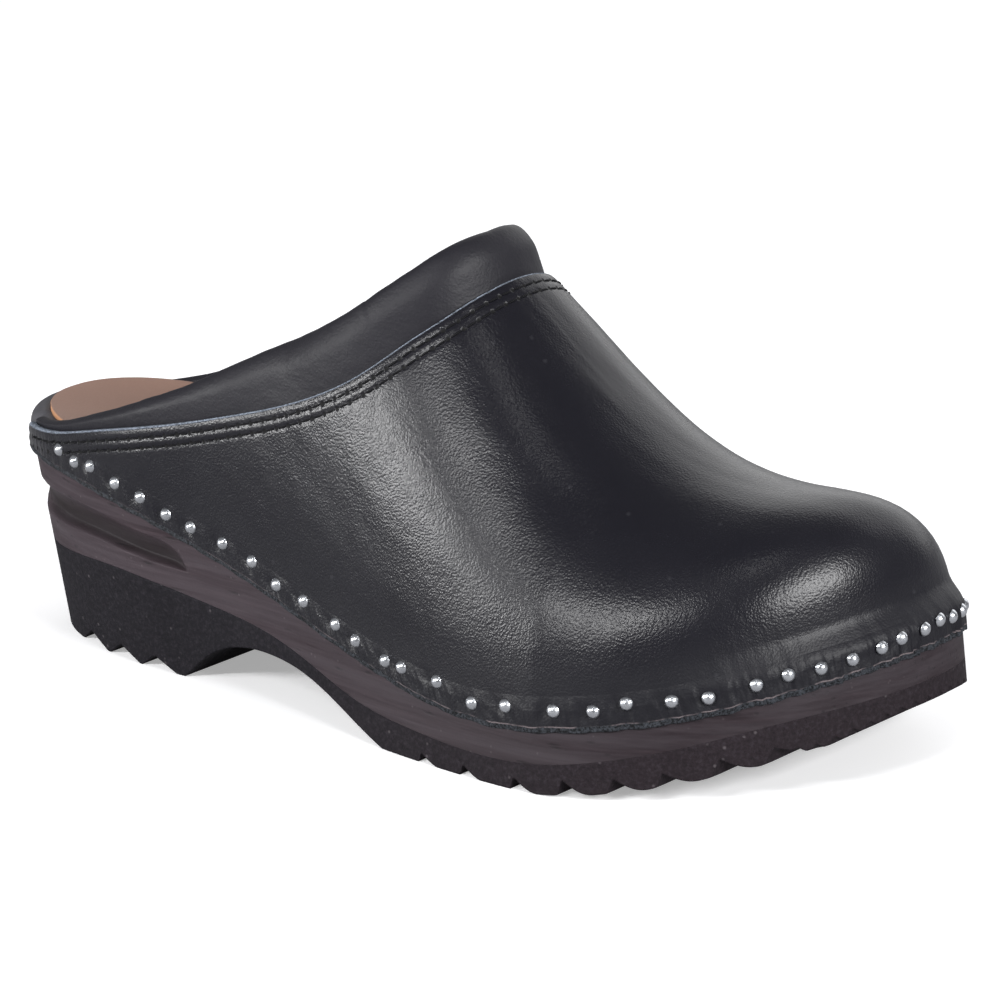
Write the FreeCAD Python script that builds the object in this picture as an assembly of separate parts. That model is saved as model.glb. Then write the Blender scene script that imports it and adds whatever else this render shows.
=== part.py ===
import FreeCAD, Part
import math
import os

from FreeCAD import Vector

# Right-foot wooden mule clog, size about EU 39.  Millimetres.
# Working frame: x from the back of the heel to the toe, y to the inner (medial) side, z up from the floor.
# Every piece is moved at the end so that the origin is the centre of the bottom of the whole clog.

# ---- driving dimensions ----
SOLE_LENGTH = 262.5
HEEL_BACK = -1.2             # the back of the heel
HEEL_CAP_END = 62.0          # the rounded heel ends here
TOE_CAP_START = 196.0        # the rounded toe starts here, at the widest place
HEEL_HALF_WIDTH = 35.0
BALL_HALF_WIDTH = 50.3
HEEL_ROUNDNESS = 2.25        # superellipse powers of the two rounded ends
TOE_ROUNDNESS = 2.2
CENTRE_LINE = [(0, 1), (30, -1), (62, -3.4), (96, -4.2), (130, -4.5), (165, -2.9), (196, -1.5),
               (221, 3), (244, 9.5), (262, 16)]
HALF_WIDTHS = [(62, 35), (96, 34.6), (130, 39.1), (165, 46.9), (196, 50.3)]
NAIL_LINE = [(0, 51.5), (40, 50), (80, 41), (120, 29), (155, 21), (180, 18.5), (205, 20.5),
             (235, 26), (262, 34)]

LEATHER = 2.2                # thickness of the upper
FIT_GAP = 0.25               # air between the upper and what lies behind it
SIDE_TAPER = 0.095           # lean of the heel's sides, per millimetre of height
BACK_TAPER = 0.10            # added at the back of the heel
TOE_FLARE = -0.08
LEATHER_MARGIN = 4.6         # leather below the nail line
RIM_ABOVE_NAILS = 5.6        # top edge of the wood above the nail line
WALL_STEP = 0.8              # bare wood wall stands back from the leather's face
HALF_SPAN = 80.0             # side-view cutters reach this far to each side
BELOW_ALL, ABOVE_ALL = -20.0, 125.0
BLOCK_LOW, BLOCK_HIGH = -2.0, 66.0   # levels that the sole's block is lofted between
DISH_DEPTH = 5.0             # hollow of the foot bed below the rim
SOCK_THICKNESS = 1.5
SOCK_MARGIN = 6.0

# height of the upper's ridge above the nail line, and the powers of its cross-section
RIDGE_HEIGHTS = [(100, 112.6), (150, 93.3), (175, 72), (200, 51.4), (225, 44.5), (262, 58.3)]
SECTION_WIDTH_POWER = (1.92, 2.08)
SECTION_HEIGHT_POWER = (1.83, 2.12)
TOE_TUCK = 4.2               # the toe's wall stands back this much above the nails
TOPLINE = [(9, 53.2), (29, 56.2), (44, 59.8), (61, 63.6), (77, 67.2), (92, 71.2), (108, 76), (120, 80.6),
           (131, 86.2), (138, 91), (145, 96.6), (152, 102.4), (157.5, 108.2)]

# underside
RUBBER_TOP = [(-6, 22), (28, 24), (50, 25), (72, 23), (90, 20.8), (104, 18.6), (120, 14.4), (136, 9.8),
              (155, 7.5), (185, 6.4), (203, 8), (215, 10.3), (230, 14), (247, 19), (268, 23.4)]
HEEL_BREAST = 75.0
ARCH_UNDERSIDE = [(75, 0), (76.5, 4.5), (82, 9.6), (92, 12.8), (104, 13), (114, 11.4), (124, 8.4), (136, 3.2),
                  (144, 0.6), (148, 0)]
FORE_LUG_START = 148.0
TOE_SPRING_START = 190.0
TOE_SPRING = 15.6
HEEL_FIRST_TOOTH = 27.0
HEEL_TOOTH_PITCH = 14.2
HEEL_TOOTH_DEPTH = 3.6
LUG_PITCH = 14.0
LUG_DEPTH = 2.6
TREAD_LAND = 1.6             # flat at the tip of each tooth

# nails
NAIL_HEAD = 3.4
NAIL_HEAD_RISE = 1.2
NAIL_CLEARANCE = 0.05        # the head sits this much off the leather
NAIL_SHANK = 1.6
HOLE_CLEARANCE = 0.02
NAIL_LENGTH = 9.0
# distances between neighbouring nails: outer side and toe, then back along the inner side
NAIL_GAPS = [7.5, 7, 9.5, 9, 8.5, 8, 10.5, 10, 8.5, 10, 12, 7.5, 11, 6, 12.5, 11.5, 10.5, 13.5, 10, 8, 10.5,
             8.5, 11, 7.5, 8, 8, 8, 6, 8, 6, 6, 7, 9, 9, 8, 10, 9, 11, 8, 10, 12, 9, 11, 10, 12, 9, 11, 10, 12,
             10, 9, 11, 10, 9, 8, 8]
FIRST_NAIL = 25.0            # from the rear end of the upper
NAIL_LIFT = 0.8
UNEVEN_NAILS = {0: 0.4, 1: -0.4, 2: 0.8, 5: -0.8, 6: -0.5, 7: 0.4, 8: 0.7, 9: -0.9, 12: -0.6, 13: -0.8, 15: 1.1,
                16: -0.9, 17: 0.3, 19: -0.4, 20: 0.9, 22: -0.8, 23: -0.4, 25: -0.7, 26: -1, 27: -0.5, 30: 0.7,
                36: 0.6, 43: -0.6, 50: 0.8}

# padded collar
# height of the band at fractions of the edge's length, from a rear end (0) to the instep (0.5)
COLLAR_HEIGHTS = [(0, 1.2), (0.1, 1.8), (0.2, 7), (0.3, 15.2), (0.38, 15.6), (0.5, 13.3)]
COLLAR_FLARE = 28.0          # degrees that the band stands out from the line of the instep
COLLAR_WIDTH = 8.0
FOAM_STARTS = 7.0            # the band is padded where it is higher than this
COLLAR_LEATHER = 1.2
FLUTE_HEIGHT = 35.0          # groove round the heel
FLUTE_RADIUS = 4.6
FLUTE_STAND_OFF = 2.2        # its centre, outside the wall
COLLAR_SEAM = 7.5            # depth of the flat seam behind the edge of the upper
STITCH_ROWS = (2.7, 5.2)     # distance of the two rows from the edge
STITCH_LENGTH = 3.0
STITCH_PITCH = 4.0
THREAD = 0.8


# ---- smooth curves ----
def natural_spline(points):
    """Natural cubic spline through (x, value) points; straight beyond its ends."""
    n = len(points)
    xs = [p[0] for p in points]
    ys = [p[1] for p in points]
    h = [xs[i + 1] - xs[i] for i in range(n - 1)]
    second = [0.0] * n
    diagonal = [1.0] * n
    right = [0.0] * n
    for i in range(1, n - 1):
        rise = 6 * ((ys[i + 1] - ys[i]) / h[i] - (ys[i] - ys[i - 1]) / h[i - 1])
        if i == 1:
            diagonal[i] = 2 * (h[0] + h[1])
            right[i] = rise
        else:
            factor = h[i - 1] / diagonal[i - 1]
            diagonal[i] = 2 * (h[i - 1] + h[i]) - factor * h[i - 1]
            right[i] = rise - factor * right[i - 1]
    for i in range(n - 2, 0, -1):
        second[i] = (right[i] - h[i] * second[i + 1]) / diagonal[i]

    def value(x):
        k = 0
        while k < n - 2 and x > xs[k + 1]:
            k += 1
        a = (xs[k + 1] - x) / h[k]
        b = (x - xs[k]) / h[k]
        if x < xs[0]:
            slope = (ys[1] - ys[0]) / h[0] - h[0] * second[1] / 6
            return ys[0] + slope * (x - xs[0])
        if x > xs[-1]:
            slope = (ys[-1] - ys[-2]) / h[-1] + h[-1] * second[-2] / 6
            return ys[-1] + slope * (x - xs[-1])
        bend = ((a ** 3 - a) * second[k] + (b ** 3 - b) * second[k + 1]) * h[k] ** 2 / 6
        return a * ys[k] + b * ys[k + 1] + bend
    return value


def between(x, x0, x1, v0, v1):
    f = min(1.0, max(0.0, (x - x0) / (x1 - x0)))
    return v0 + (v1 - v0) * f


centre_line = natural_spline(CENTRE_LINE)
half_width = natural_spline(HALF_WIDTHS)
nail_line = natural_spline(NAIL_LINE)
ridge_height = natural_spline(RIDGE_HEIGHTS)


# ---- plan outline of the sole, at the outer face of the leather ----
def plan_ratio(x, y):
    """0 on the centre line, 1 on the outline, more outside it."""
    across = abs(y - centre_line(min(SOLE_LENGTH, max(0, x))))
    if x < HEEL_CAP_END:
        along = (HEEL_CAP_END - x) / (HEEL_CAP_END - HEEL_BACK)
        return ((across / HEEL_HALF_WIDTH) ** HEEL_ROUNDNESS + along ** HEEL_ROUNDNESS) ** (1 / HEEL_ROUNDNESS)
    if x > TOE_CAP_START:
        along = (x - TOE_CAP_START) / (SOLE_LENGTH - TOE_CAP_START)
        return ((across / BALL_HALF_WIDTH) ** TOE_ROUNDNESS + along ** TOE_ROUNDNESS) ** (1 / TOE_ROUNDNESS)
    return across / half_width(x)


def cap_points(x_start, x_end, width, power, count, side):
    """Points of one quarter of a rounded end, from the side to the tip."""
    points = []
    for i in range(count):
        angle = math.pi / 2 * i / (count - 1)
        x = x_start + (x_end - x_start) * math.sin(angle) ** (2 / power)
        y = centre_line(x) + side * width * max(0.0, math.cos(angle)) ** (2 / power)
        points.append(Vector(x, y, 0))
    return points


def outline_points(cap_count, side_xs):
    """Closed outline from the back of the heel along the outer side, round the toe and back."""
    halves = []
    for side in (-1, 1):
        heel = cap_points(HEEL_CAP_END, HEEL_BACK, HEEL_HALF_WIDTH, HEEL_ROUNDNESS, cap_count, side)
        sides = [Vector(x, centre_line(x) + side * half_width(x), 0) for x in side_xs]
        toe = cap_points(TOE_CAP_START, SOLE_LENGTH, BALL_HALF_WIDTH, TOE_ROUNDNESS, cap_count, side)
        halves.append(heel[::-1] + sides + toe)
    outer, inner = halves
    return outer + inner[::-1][1:-1]


def outward_normals(points):
    normals = []
    for i in range(len(points)):
        along = points[(i + 1) % len(points)] - points[i - 1]
        normals.append(Vector(along.y, -along.x, 0).normalize())
    return normals


OUTLINE = outline_points(8, (79, 96, 113, 130, 147, 165, 181))
OUTLINE_NORMALS = outward_normals(OUTLINE)


def closed_wire(points):
    curve = Part.BSplineCurve()
    curve.interpolate(points, PeriodicFlag=True)
    return Part.Wire([curve.toShape()])


def outline_wire(height, inset):
    """Outline wire; `height` and `inset` are functions of the outline point."""
    points = []
    for point, normal in zip(OUTLINE, OUTLINE_NORMALS):
        moved = point - normal * inset(point, normal)
        points.append(Vector(moved.x, moved.y, height(point)))
    return closed_wire(points)


def wall_taper(point, normal):
    """How much the wall leans in per millimetre down: most at the back of the heel, flared at the toe."""
    sides = between(point.x, 70, 150, SIDE_TAPER, TOE_FLARE)
    back = BACK_TAPER * max(0.0, -normal.x) ** 1.5 if point.x < HEEL_CAP_END else 0.0
    return sides + back


def tapered_block(z_low, z_high):
    """The sole's outline as a solid: walls lean below the nail line and stand upright above it."""
    low = outline_wire(lambda p: z_low, lambda p, n: WALL_STEP + wall_taper(p, n) * (nail_line(p.x) - z_low))
    middle = outline_wire(lambda p: nail_line(p.x), lambda p, n: WALL_STEP)
    high = outline_wire(lambda p: z_high, lambda p, n: WALL_STEP)
    return Part.makeLoft([low, middle, high], True, True)


def upright_block(inset, z_low, z_high):
    face = Part.Face(outline_wire(lambda p: z_low, lambda p, n: inset))
    return face.extrude(Vector(0, 0, z_high - z_low))


def side_profile(edge_points, far_height):
    """Solid between a curve in the side view and a far height, right across the clog."""
    curve = Part.BSplineCurve()
    curve.interpolate([Vector(x, -HALF_SPAN, z) for x, z in edge_points])
    first = Vector(edge_points[0][0], -HALF_SPAN, edge_points[0][1])
    last = Vector(edge_points[-1][0], -HALF_SPAN, edge_points[-1][1])
    first_far = Vector(first.x, -HALF_SPAN, far_height)
    last_far = Vector(last.x, -HALF_SPAN, far_height)
    edges = [curve.toShape(), Part.makeLine(last, last_far), Part.makeLine(last_far, first_far),
             Part.makeLine(first_far, first)]
    return Part.Face(Part.Wire(edges)).extrude(Vector(0, 2 * HALF_SPAN, 0))


# ---- the upper's form ----
def upper_ratio(point):
    """Negative inside the upper's outer face, zero on it."""
    x = point.x
    above_nails = between(point.z - nail_line(x), 1, 10, 0, 1)
    tuck = TOE_TUCK * above_nails ** 2 * (3 - 2 * above_nails) * between(x, 215, SOLE_LENGTH, 0, 1)
    width_power = between(x, 140, 230, *SECTION_WIDTH_POWER)
    height_power = between(x, 140, 230, *SECTION_HEIGHT_POWER)
    rise = max(0.0, (point.z - nail_line(x)) / ridge_height(x))
    return plan_ratio(x + tuck, point.y) ** width_power + rise ** height_power - 1


def upper_normal(point):
    d = 0.05
    g = [upper_ratio(point + step) - upper_ratio(point - step)
         for step in (Vector(d, 0, 0), Vector(0, d, 0), Vector(0, 0, d))]
    return Vector(*g).normalize()


def reach(origin, direction):
    """Where a ray from inside meets the upper's outer face."""
    near, far = 0.0, 160.0
    for _ in range(40):
        middle = (near + far) / 2
        if upper_ratio(origin + direction * middle) < 0:
            near = middle
        else:
            far = middle
    return origin + direction * near


topline_height = natural_spline(TOPLINE)
TOPLINE_END_X = TOPLINE[-1][0]


def topline_point(fraction):
    """Edge of the upper, 0 at the rear outer end, 0.5 on the instep, 1 at the rear inner end."""
    side = -1 if fraction <= 0.5 else 1
    turn = math.pi / 2 * (1 - abs(1 - 2 * fraction))
    x = TOPLINE[0][0] + (TOPLINE_END_X - TOPLINE[0][0]) * math.sin(turn)
    z = topline_height(x)
    origin = Vector(x, centre_line(x), z)
    if upper_ratio(origin) > -1e-6:
        return reach(Vector(x, centre_line(x), 40), Vector(0, 0, 1))
    return reach(origin, Vector(0, side, 0))


def dense_topline(count):
    return [topline_point(i / (count - 1)) for i in range(count)]


def resampled(points, fraction):
    """Point at a fraction of the length of a polyline."""
    lengths = [0.0]
    for a, b in zip(points, points[1:]):
        lengths.append(lengths[-1] + (b - a).Length)
    target = fraction * lengths[-1]
    k = 0
    while k < len(points) - 2 and lengths[k + 1] < target:
        k += 1
    part = (target - lengths[k]) / (lengths[k + 1] - lengths[k])
    return points[k] + (points[k + 1] - points[k]) * part


def base_outline(count):
    """Outline from the rear outer corner round the toe to the rear inner corner, finely divided."""
    points = outline_points(count, [HEEL_CAP_END + 134 * i / count for i in range(1, count)])
    half = len(points) // 2
    start_x = TOPLINE[0][0]
    outer = [p for p in points[:half + 1] if p.x >= start_x]
    inner = [p for p in points[half + 1:] if p.x >= start_x]
    return outer + inner


TOPLINE_FINE = dense_topline(161)
BASE_FINE = base_outline(60)


def upper_grid(columns, rows, depth):
    """Grid of points on the upper, from its lower edge to its top edge, `depth` inside its outer face."""
    grid = []
    for i in range(columns):
        s = i / (columns - 1)
        along_top = 0.5 * (1 - abs(1 - 2 * s) ** 1.5)
        if s > 0.5:
            along_top = 1 - along_top
        base = resampled(BASE_FINE, s)
        base.z = nail_line(base.x) - LEATHER_MARGIN
        top = resampled(TOPLINE_FINE, along_top)
        origin = Vector(top.x, centre_line(top.x), base.z + 4)
        start = (base - origin).normalize()
        end = (top - origin).normalize()
        angle = start.getAngle(end)
        row = []
        for j in range(rows):
            t = (j / (rows - 1)) ** 1.3
            direction = start * math.sin((1 - t) * angle) + end * math.sin(t * angle)
            direction.normalize()
            point = reach(origin, direction)
            row.append(point - upper_normal(point) * depth)
        grid.append(row)
    return grid


def surface_through(grid):
    surface = Part.BSplineSurface()
    surface.interpolate(grid)
    return surface.toShape()


def border_edges(face):
    """The four border edges of a surface face: first column, last column, base, top."""
    surface = face.Surface
    u0, u1, v0, v1 = surface.bounds()
    return [surface.uIso(u0).toShape(), surface.uIso(u1).toShape(),
            surface.vIso(v0).toShape(), surface.vIso(v1).toShape()]


def shell_between(outer_grid, inner_grid):
    outer = surface_through(outer_grid)
    inner = surface_through(inner_grid)
    faces = [outer, inner]
    for a, b in zip(border_edges(outer), border_edges(inner)):
        faces.append(Part.makeRuledSurface(a, b))
    shell = Part.Compound(faces)
    shell.sewShape()
    solid = Part.Solid(shell.Shells[0] if shell.Shells else Part.Shell(faces))
    if solid.Volume < 0:
        solid.reverse()
    return solid


COLUMNS, ROWS = 61, 27       # points across the upper's surfaces


def make_vamp():
    outer_grid = upper_grid(COLUMNS, ROWS, 0.0)
    inner_grid = upper_grid(COLUMNS, ROWS, LEATHER)
    return shell_between(outer_grid, inner_grid)


# ---- wooden sole ----
def bed_surface(lift):
    """Hollowed foot bed; `lift` raises it."""
    grid = []
    for i in range(25):
        x = -8 + 12 * i
        row = []
        for j in range(17):
            y = centre_line(min(SOLE_LENGTH, max(0, x))) + 8 * (j - 8)
            dish = DISH_DEPTH * (1 - min(1.25, plan_ratio(x, y)) ** 3)
            row.append(Vector(x, y, nail_line(x) + RIM_ABOVE_NAILS - dish + lift))
        grid.append(row)
    return surface_through(grid)


def above_bed(lift):
    return bed_surface(lift).extrude(Vector(0, 0, 90))


def flute_cutter():
    """Groove round the heel, below the leather, fading out at the waist."""
    path = [p for p in outline_points(40, range(66, 104, 4)) if p.x < 100]
    front = max(range(len(path)), key=lambda k: (path[k - 1] - path[k]).Length)
    path = path[front:] + path[:front]
    wires = []
    for i in range(25):
        point = resampled(path, i / 24)
        along = resampled(path, min(1, i / 24 + 0.01)) - resampled(path, max(0, i / 24 - 0.01))
        along.normalize()
        normal = Vector(along.y, -along.x, 0)
        height = between(point.x, 0, 75, FLUTE_HEIGHT, FLUTE_HEIGHT - 4.5)
        inset = WALL_STEP + wall_taper(point, normal) * (nail_line(point.x) - height)
        fade = between(point.x, 56, 80, 0, 1)
        stand_off = FLUTE_STAND_OFF + (FLUTE_RADIUS + 0.6 - FLUTE_STAND_OFF) * fade * fade * (3 - 2 * fade)
        centre = point + normal * (stand_off - inset)
        centre.z = height
        wires.append(Part.Wire([Part.Circle(centre, along, FLUTE_RADIUS).toShape()]))
    return Part.makeLoft(wires, True, False)


def leather_edge(x):
    return nail_line(x) - LEATHER_MARGIN


def make_wooden_sole():
    wood = tapered_block(BLOCK_LOW, BLOCK_HIGH)
    leather_edge_line = [(x, leather_edge(x)) for x in [TOPLINE[0][0]] + list(range(20, 280, 15))]
    seat = side_profile(leather_edge_line, ABOVE_ALL).cut(upright_block(LEATHER + FIT_GAP, BELOW_ALL, ABOVE_ALL))
    wood = wood.cut(seat)
    wood = wood.common(side_profile(RUBBER_TOP, ABOVE_ALL))
    return wood.cut(above_bed(0)).cut(flute_cutter())


# ---- rubber outsole ----
def tread_floor(x):
    if x < TOE_SPRING_START:
        return 0.0
    run = (x - TOE_SPRING_START) / (SOLE_LENGTH - TOE_SPRING_START)
    return TOE_SPRING * run ** 1.7


def heel_tread():
    """Sawtooth bottom edge of the heel, from the back to the breast."""
    points = [(-6, 0)]
    x = HEEL_FIRST_TOOTH
    while x < HEEL_BREAST - HEEL_TOOTH_PITCH:
        points += [(x, 0), (x + 5.6, HEEL_TOOTH_DEPTH), (x + HEEL_TOOTH_PITCH - TREAD_LAND, 0)]
        x += HEEL_TOOTH_PITCH
    return points


def fore_tread():
    """Bottom edge of the fore part: bars with a notch between each two, rising towards the toe."""
    points = []
    x = FORE_LUG_START + LUG_PITCH
    while x < SOLE_LENGTH + 6:
        size = between(x, 235, 255, 1.0, 0.55)
        points.append((x - TREAD_LAND, tread_floor(x)))
        points.append((x + 2.2 * size, tread_floor(x + 2) + LUG_DEPTH * size))
        points.append((x + 6.5 * size, tread_floor(x + 5 * size)))
        x += LUG_PITCH * size
    points.append((SOLE_LENGTH + 12, tread_floor(SOLE_LENGTH + 8)))
    return points


def make_outsole():
    rubber = tapered_block(BLOCK_LOW, BLOCK_HIGH)
    above = side_profile(RUBBER_TOP, ABOVE_ALL)
    arch = Part.BSplineCurve()
    arch.interpolate([Vector(x, -HALF_SPAN, z) for x, z in ARCH_UNDERSIDE])
    heel = [Vector(x, -HALF_SPAN, z) for x, z in heel_tread()]
    fore = [Vector(x, -HALF_SPAN, z) for x, z in fore_tread()]
    heel.append(Vector(HEEL_BREAST, -HALF_SPAN, 0))
    fore.insert(0, Vector(FORE_LUG_START, -HALF_SPAN, 0))
    lower = [Vector(fore[-1].x, -HALF_SPAN, BELOW_ALL), Vector(heel[0].x, -HALF_SPAN, BELOW_ALL), heel[0]]
    edges = Part.makePolygon(heel).Edges + [arch.toShape()] + Part.makePolygon(fore + lower).Edges
    below = Part.Face(Part.Wire(edges)).extrude(Vector(0, 2 * HALF_SPAN, 0))
    return rubber.cut(above).cut(below)


# ---- sock lining ----
def make_sock_lining():
    layer = above_bed(0).cut(above_bed(SOCK_THICKNESS))
    return layer.common(upright_block(SOCK_MARGIN, 0, ABOVE_ALL))


# ---- frames along the edge of the upper ----
def edge_frames(count):
    """Point, direction up from the edge, and outward direction, at even steps along the edge."""
    frames = []
    for i in range(count):
        s = i / (count - 1)
        point = resampled(TOPLINE_FINE, s)
        ahead = resampled(TOPLINE_FINE, min(1, s + 0.01))
        behind = resampled(TOPLINE_FINE, max(0, s - 0.01))
        outward = upper_normal(point)
        along = (ahead - behind).normalize()
        up = along.cross(outward) * -1
        if up.z < 0:
            up = up * -1
        up.normalize()
        frames.append((s, point, up, outward))
    return frames


collar_height = natural_spline(COLLAR_HEIGHTS)


def collar_size(s):
    """Height and thickness of the padded band, tapering away at both rear ends."""
    height = collar_height(0.5 - abs(s - 0.5))
    return height, 2.6 + (COLLAR_WIDTH - 2.6) * min(1.0, height / 16)


def flared(frame):
    """The frame turned outwards a little near the instep."""
    s, point, up, outward = frame
    angle = math.radians(COLLAR_FLARE) * between(0.5 - abs(s - 0.5), 0.3, 0.47, 0, 1)
    lifted = up * math.cos(angle) + outward * math.sin(angle)
    across = outward * math.cos(angle) - up * math.sin(angle)
    return s, point, lifted, across


def collar_section(frame, height, width, seam):
    """Closed section of the band: flat seam below, padded roll above."""
    _, point, up, outward = frame
    face = -LEATHER - FIT_GAP
    back = face - width
    seam_back = face - 2 * COLLAR_LEATHER
    shape = [(face, -seam), (face, -seam * 0.4), (face + 0.5, height * 0.3), (face + 0.4, height * 0.65),
             (face - width * 0.2, height * 0.93), (face - width * 0.5, height), (back + 0.8, height * 0.86),
             (back, height * 0.5), (back + 0.6, height * 0.1), (seam_back - 0.6, -seam * 0.5),
             (seam_back, -seam)]
    _, _, lifted, across = flared(frame)
    points = []
    for n, m in shape:
        if m > 0:
            points.append(point + outward * face + across * (n - face) + lifted * m)
        else:
            points.append(point + outward * n + up * m)
    return points


def section_wire(points):
    curve = Part.BSplineCurve()
    curve.interpolate(points)
    return Part.Wire([curve.toShape(), Part.makeLine(points[-1], points[0])])


def foam_section(frame, height, width):
    """Closed oval section of the padding inside the band."""
    _, point, _, outward = frame
    _, _, lifted, across = flared(frame)
    face = -COLLAR_LEATHER
    half_w = width / 2 - COLLAR_LEATHER
    half_h = (height - 1) / 2 - COLLAR_LEATHER
    centre = (face - half_w, height / 2 + 0.2)
    points = []
    for k in range(10):
        angle = 2 * math.pi * k / 10
        n = centre[0] + half_w * math.cos(angle)
        m = centre[1] + half_h * math.sin(angle)
        points.append(point - outward * (LEATHER + FIT_GAP) + across * n + lifted * m)
    return closed_wire(points)


def largest_solid(shape):
    return max(shape.Solids, key=lambda solid: solid.Volume)


def make_collar():
    frames = edge_frames(41)
    cover_wires = []
    for frame in frames:
        height, width = collar_size(frame[0])
        seam = min(COLLAR_SEAM, height + 1.5)
        cover_wires.append(section_wire(collar_section(frame, height, width, seam)))
    cover = Part.makeLoft(cover_wires, True, False)
    foam_wires = []
    for frame in frames:
        height, width = collar_size(frame[0])
        if height > FOAM_STARTS:
            foam_wires.append(foam_section(frame, height, width))
    foam = Part.makeLoft(foam_wires, True, False)
    return cover, foam


# ---- stitches ----
def stitch_row(distance, skipped):
    """One row of stitches along the edge, without the first and last few."""
    stitches = []
    length = sum((b - a).Length for a, b in zip(TOPLINE_FINE, TOPLINE_FINE[1:]))
    count = int(length / STITCH_PITCH)
    for s, point, up, outward in edge_frames(count)[skipped:-skipped]:
        start = point - up * distance
        along = up.cross(outward).normalize()
        ends = []
        for shift in (-STITCH_LENGTH / 2, STITCH_LENGTH / 2):
            spot = start + along * shift - outward * 12
            ends.append(reach(spot, outward))
        middle = (ends[0] + ends[1]) / 2
        lift = upper_normal(middle) * (THREAD / 2 + 0.06)
        stitches.append(Part.makeCylinder(THREAD / 2, (ends[1] - ends[0]).Length, ends[0] + lift,
                                          ends[1] - ends[0]))
    return Part.Compound(stitches)


# ---- nails ----
def nail_shape():
    """Round-head nail pointing along -x, with the underside of the head at the origin."""
    radius = NAIL_HEAD / 2
    ball = (radius ** 2 + NAIL_HEAD_RISE ** 2) / (2 * NAIL_HEAD_RISE)
    dome = Part.makeSphere(ball, Vector(NAIL_HEAD_RISE - ball, 0, 0))
    dome = dome.common(Part.makeBox(ball, 4 * ball, 4 * ball, Vector(0, -2 * ball, -2 * ball)))
    shank_length = NAIL_LENGTH - 3
    shank = Part.makeCylinder(NAIL_SHANK / 2, shank_length, Vector(0, 0, 0), Vector(-1, 0, 0))
    point = Part.makeCone(NAIL_SHANK / 2, 0.1, 3, Vector(-shank_length, 0, 0), Vector(-1, 0, 0))
    return dome.fuse([shank, point])


def nail_places():
    """Where each head sits on the leather, and the outward direction there."""
    length = sum((b - a).Length for a, b in zip(BASE_FINE, BASE_FINE[1:]))
    places = []
    distance = FIRST_NAIL
    for gap in [0] + NAIL_GAPS:
        distance += gap
        if distance > length - FIRST_NAIL + 4:
            break
        point = resampled(BASE_FINE, distance / length)
        ahead = resampled(BASE_FINE, min(1, (distance + 2) / length))
        behind = resampled(BASE_FINE, max(0, (distance - 2) / length))
        along = ahead - behind
        height = nail_line(point.x) + NAIL_LIFT + UNEVEN_NAILS.get(len(places), 0)
        places.append((Vector(point.x, point.y, height), Vector(along.y, -along.x, 0).normalize()))
    return places


def make_nails(places):
    pattern = nail_shape()
    nails = []
    for point, outward in places:
        nail = pattern.copy()
        turn = math.degrees(math.atan2(outward.y, outward.x))
        nail.rotate(Vector(0, 0, 0), Vector(0, 0, 1), turn)
        nail.translate(point + outward * NAIL_CLEARANCE)
        nails.append(nail)
    return Part.Compound(nails)


def nail_holes(places):
    """Holes through the leather."""
    radius = NAIL_SHANK / 2 + HOLE_CLEARANCE
    return Part.Compound([Part.makeCylinder(radius, 3 * LEATHER, point + outward * LEATHER, outward * -1)
                          for point, outward in places])


def main():
    os.makedirs("parts", exist_ok=True)
    places = nail_places()
    nails = make_nails(places)
    collar, foam = make_collar()
    wood = make_wooden_sole()
    vamp = make_vamp().cut(nail_holes(places))
    wood = wood.cut(nails)
    collar = largest_solid(collar.cut(foam).cut(wood))
    parts = {
        "wooden_sole": wood,
        "outsole": make_outsole(),
        "sock_lining": make_sock_lining(),
        "vamp": vamp,
        "collar_cover": collar,
        "collar_foam": foam,
        "stitch_row_upper": stitch_row(STITCH_ROWS[0], 2),
        "stitch_row_lower": stitch_row(STITCH_ROWS[1], 6),
        "nails": nails,
    }
    bounds = Part.Compound(list(parts.values())).optimalBoundingBox(False)
    origin = Vector(-bounds.Center.x, -bounds.Center.y, -bounds.ZMin)
    print("moved by", origin, "overall", bounds.XLength, bounds.YLength, bounds.ZLength)
    for name, shape in parts.items():
        shape.translate(origin)
        box = shape.optimalBoundingBox(False)
        print(name, shape.isValid(), len(shape.Solids), round(shape.Volume),
              [round(v, 1) for v in (box.XMin, box.XMax, box.YMin, box.YMax, box.ZMin, box.ZMax)])
        shape.exportStep("parts/" + name + ".step")


main()
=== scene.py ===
import math

import bmesh
import bpy
import numpy as np
from mathutils import Matrix, Vector


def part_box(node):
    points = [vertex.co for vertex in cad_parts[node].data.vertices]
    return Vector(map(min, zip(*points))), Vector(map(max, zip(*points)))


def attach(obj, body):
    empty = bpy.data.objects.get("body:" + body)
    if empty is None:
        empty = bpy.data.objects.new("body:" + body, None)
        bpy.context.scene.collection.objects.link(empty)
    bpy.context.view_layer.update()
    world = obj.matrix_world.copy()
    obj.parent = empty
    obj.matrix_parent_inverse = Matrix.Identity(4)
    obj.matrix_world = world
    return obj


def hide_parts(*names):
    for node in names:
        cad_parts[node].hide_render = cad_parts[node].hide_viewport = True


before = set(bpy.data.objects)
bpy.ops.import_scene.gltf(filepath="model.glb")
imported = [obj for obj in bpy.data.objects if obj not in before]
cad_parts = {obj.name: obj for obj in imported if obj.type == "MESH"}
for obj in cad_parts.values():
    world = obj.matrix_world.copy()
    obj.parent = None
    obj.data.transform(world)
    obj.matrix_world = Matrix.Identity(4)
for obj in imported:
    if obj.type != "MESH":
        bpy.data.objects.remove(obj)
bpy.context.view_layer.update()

MM = 0.001

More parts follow.
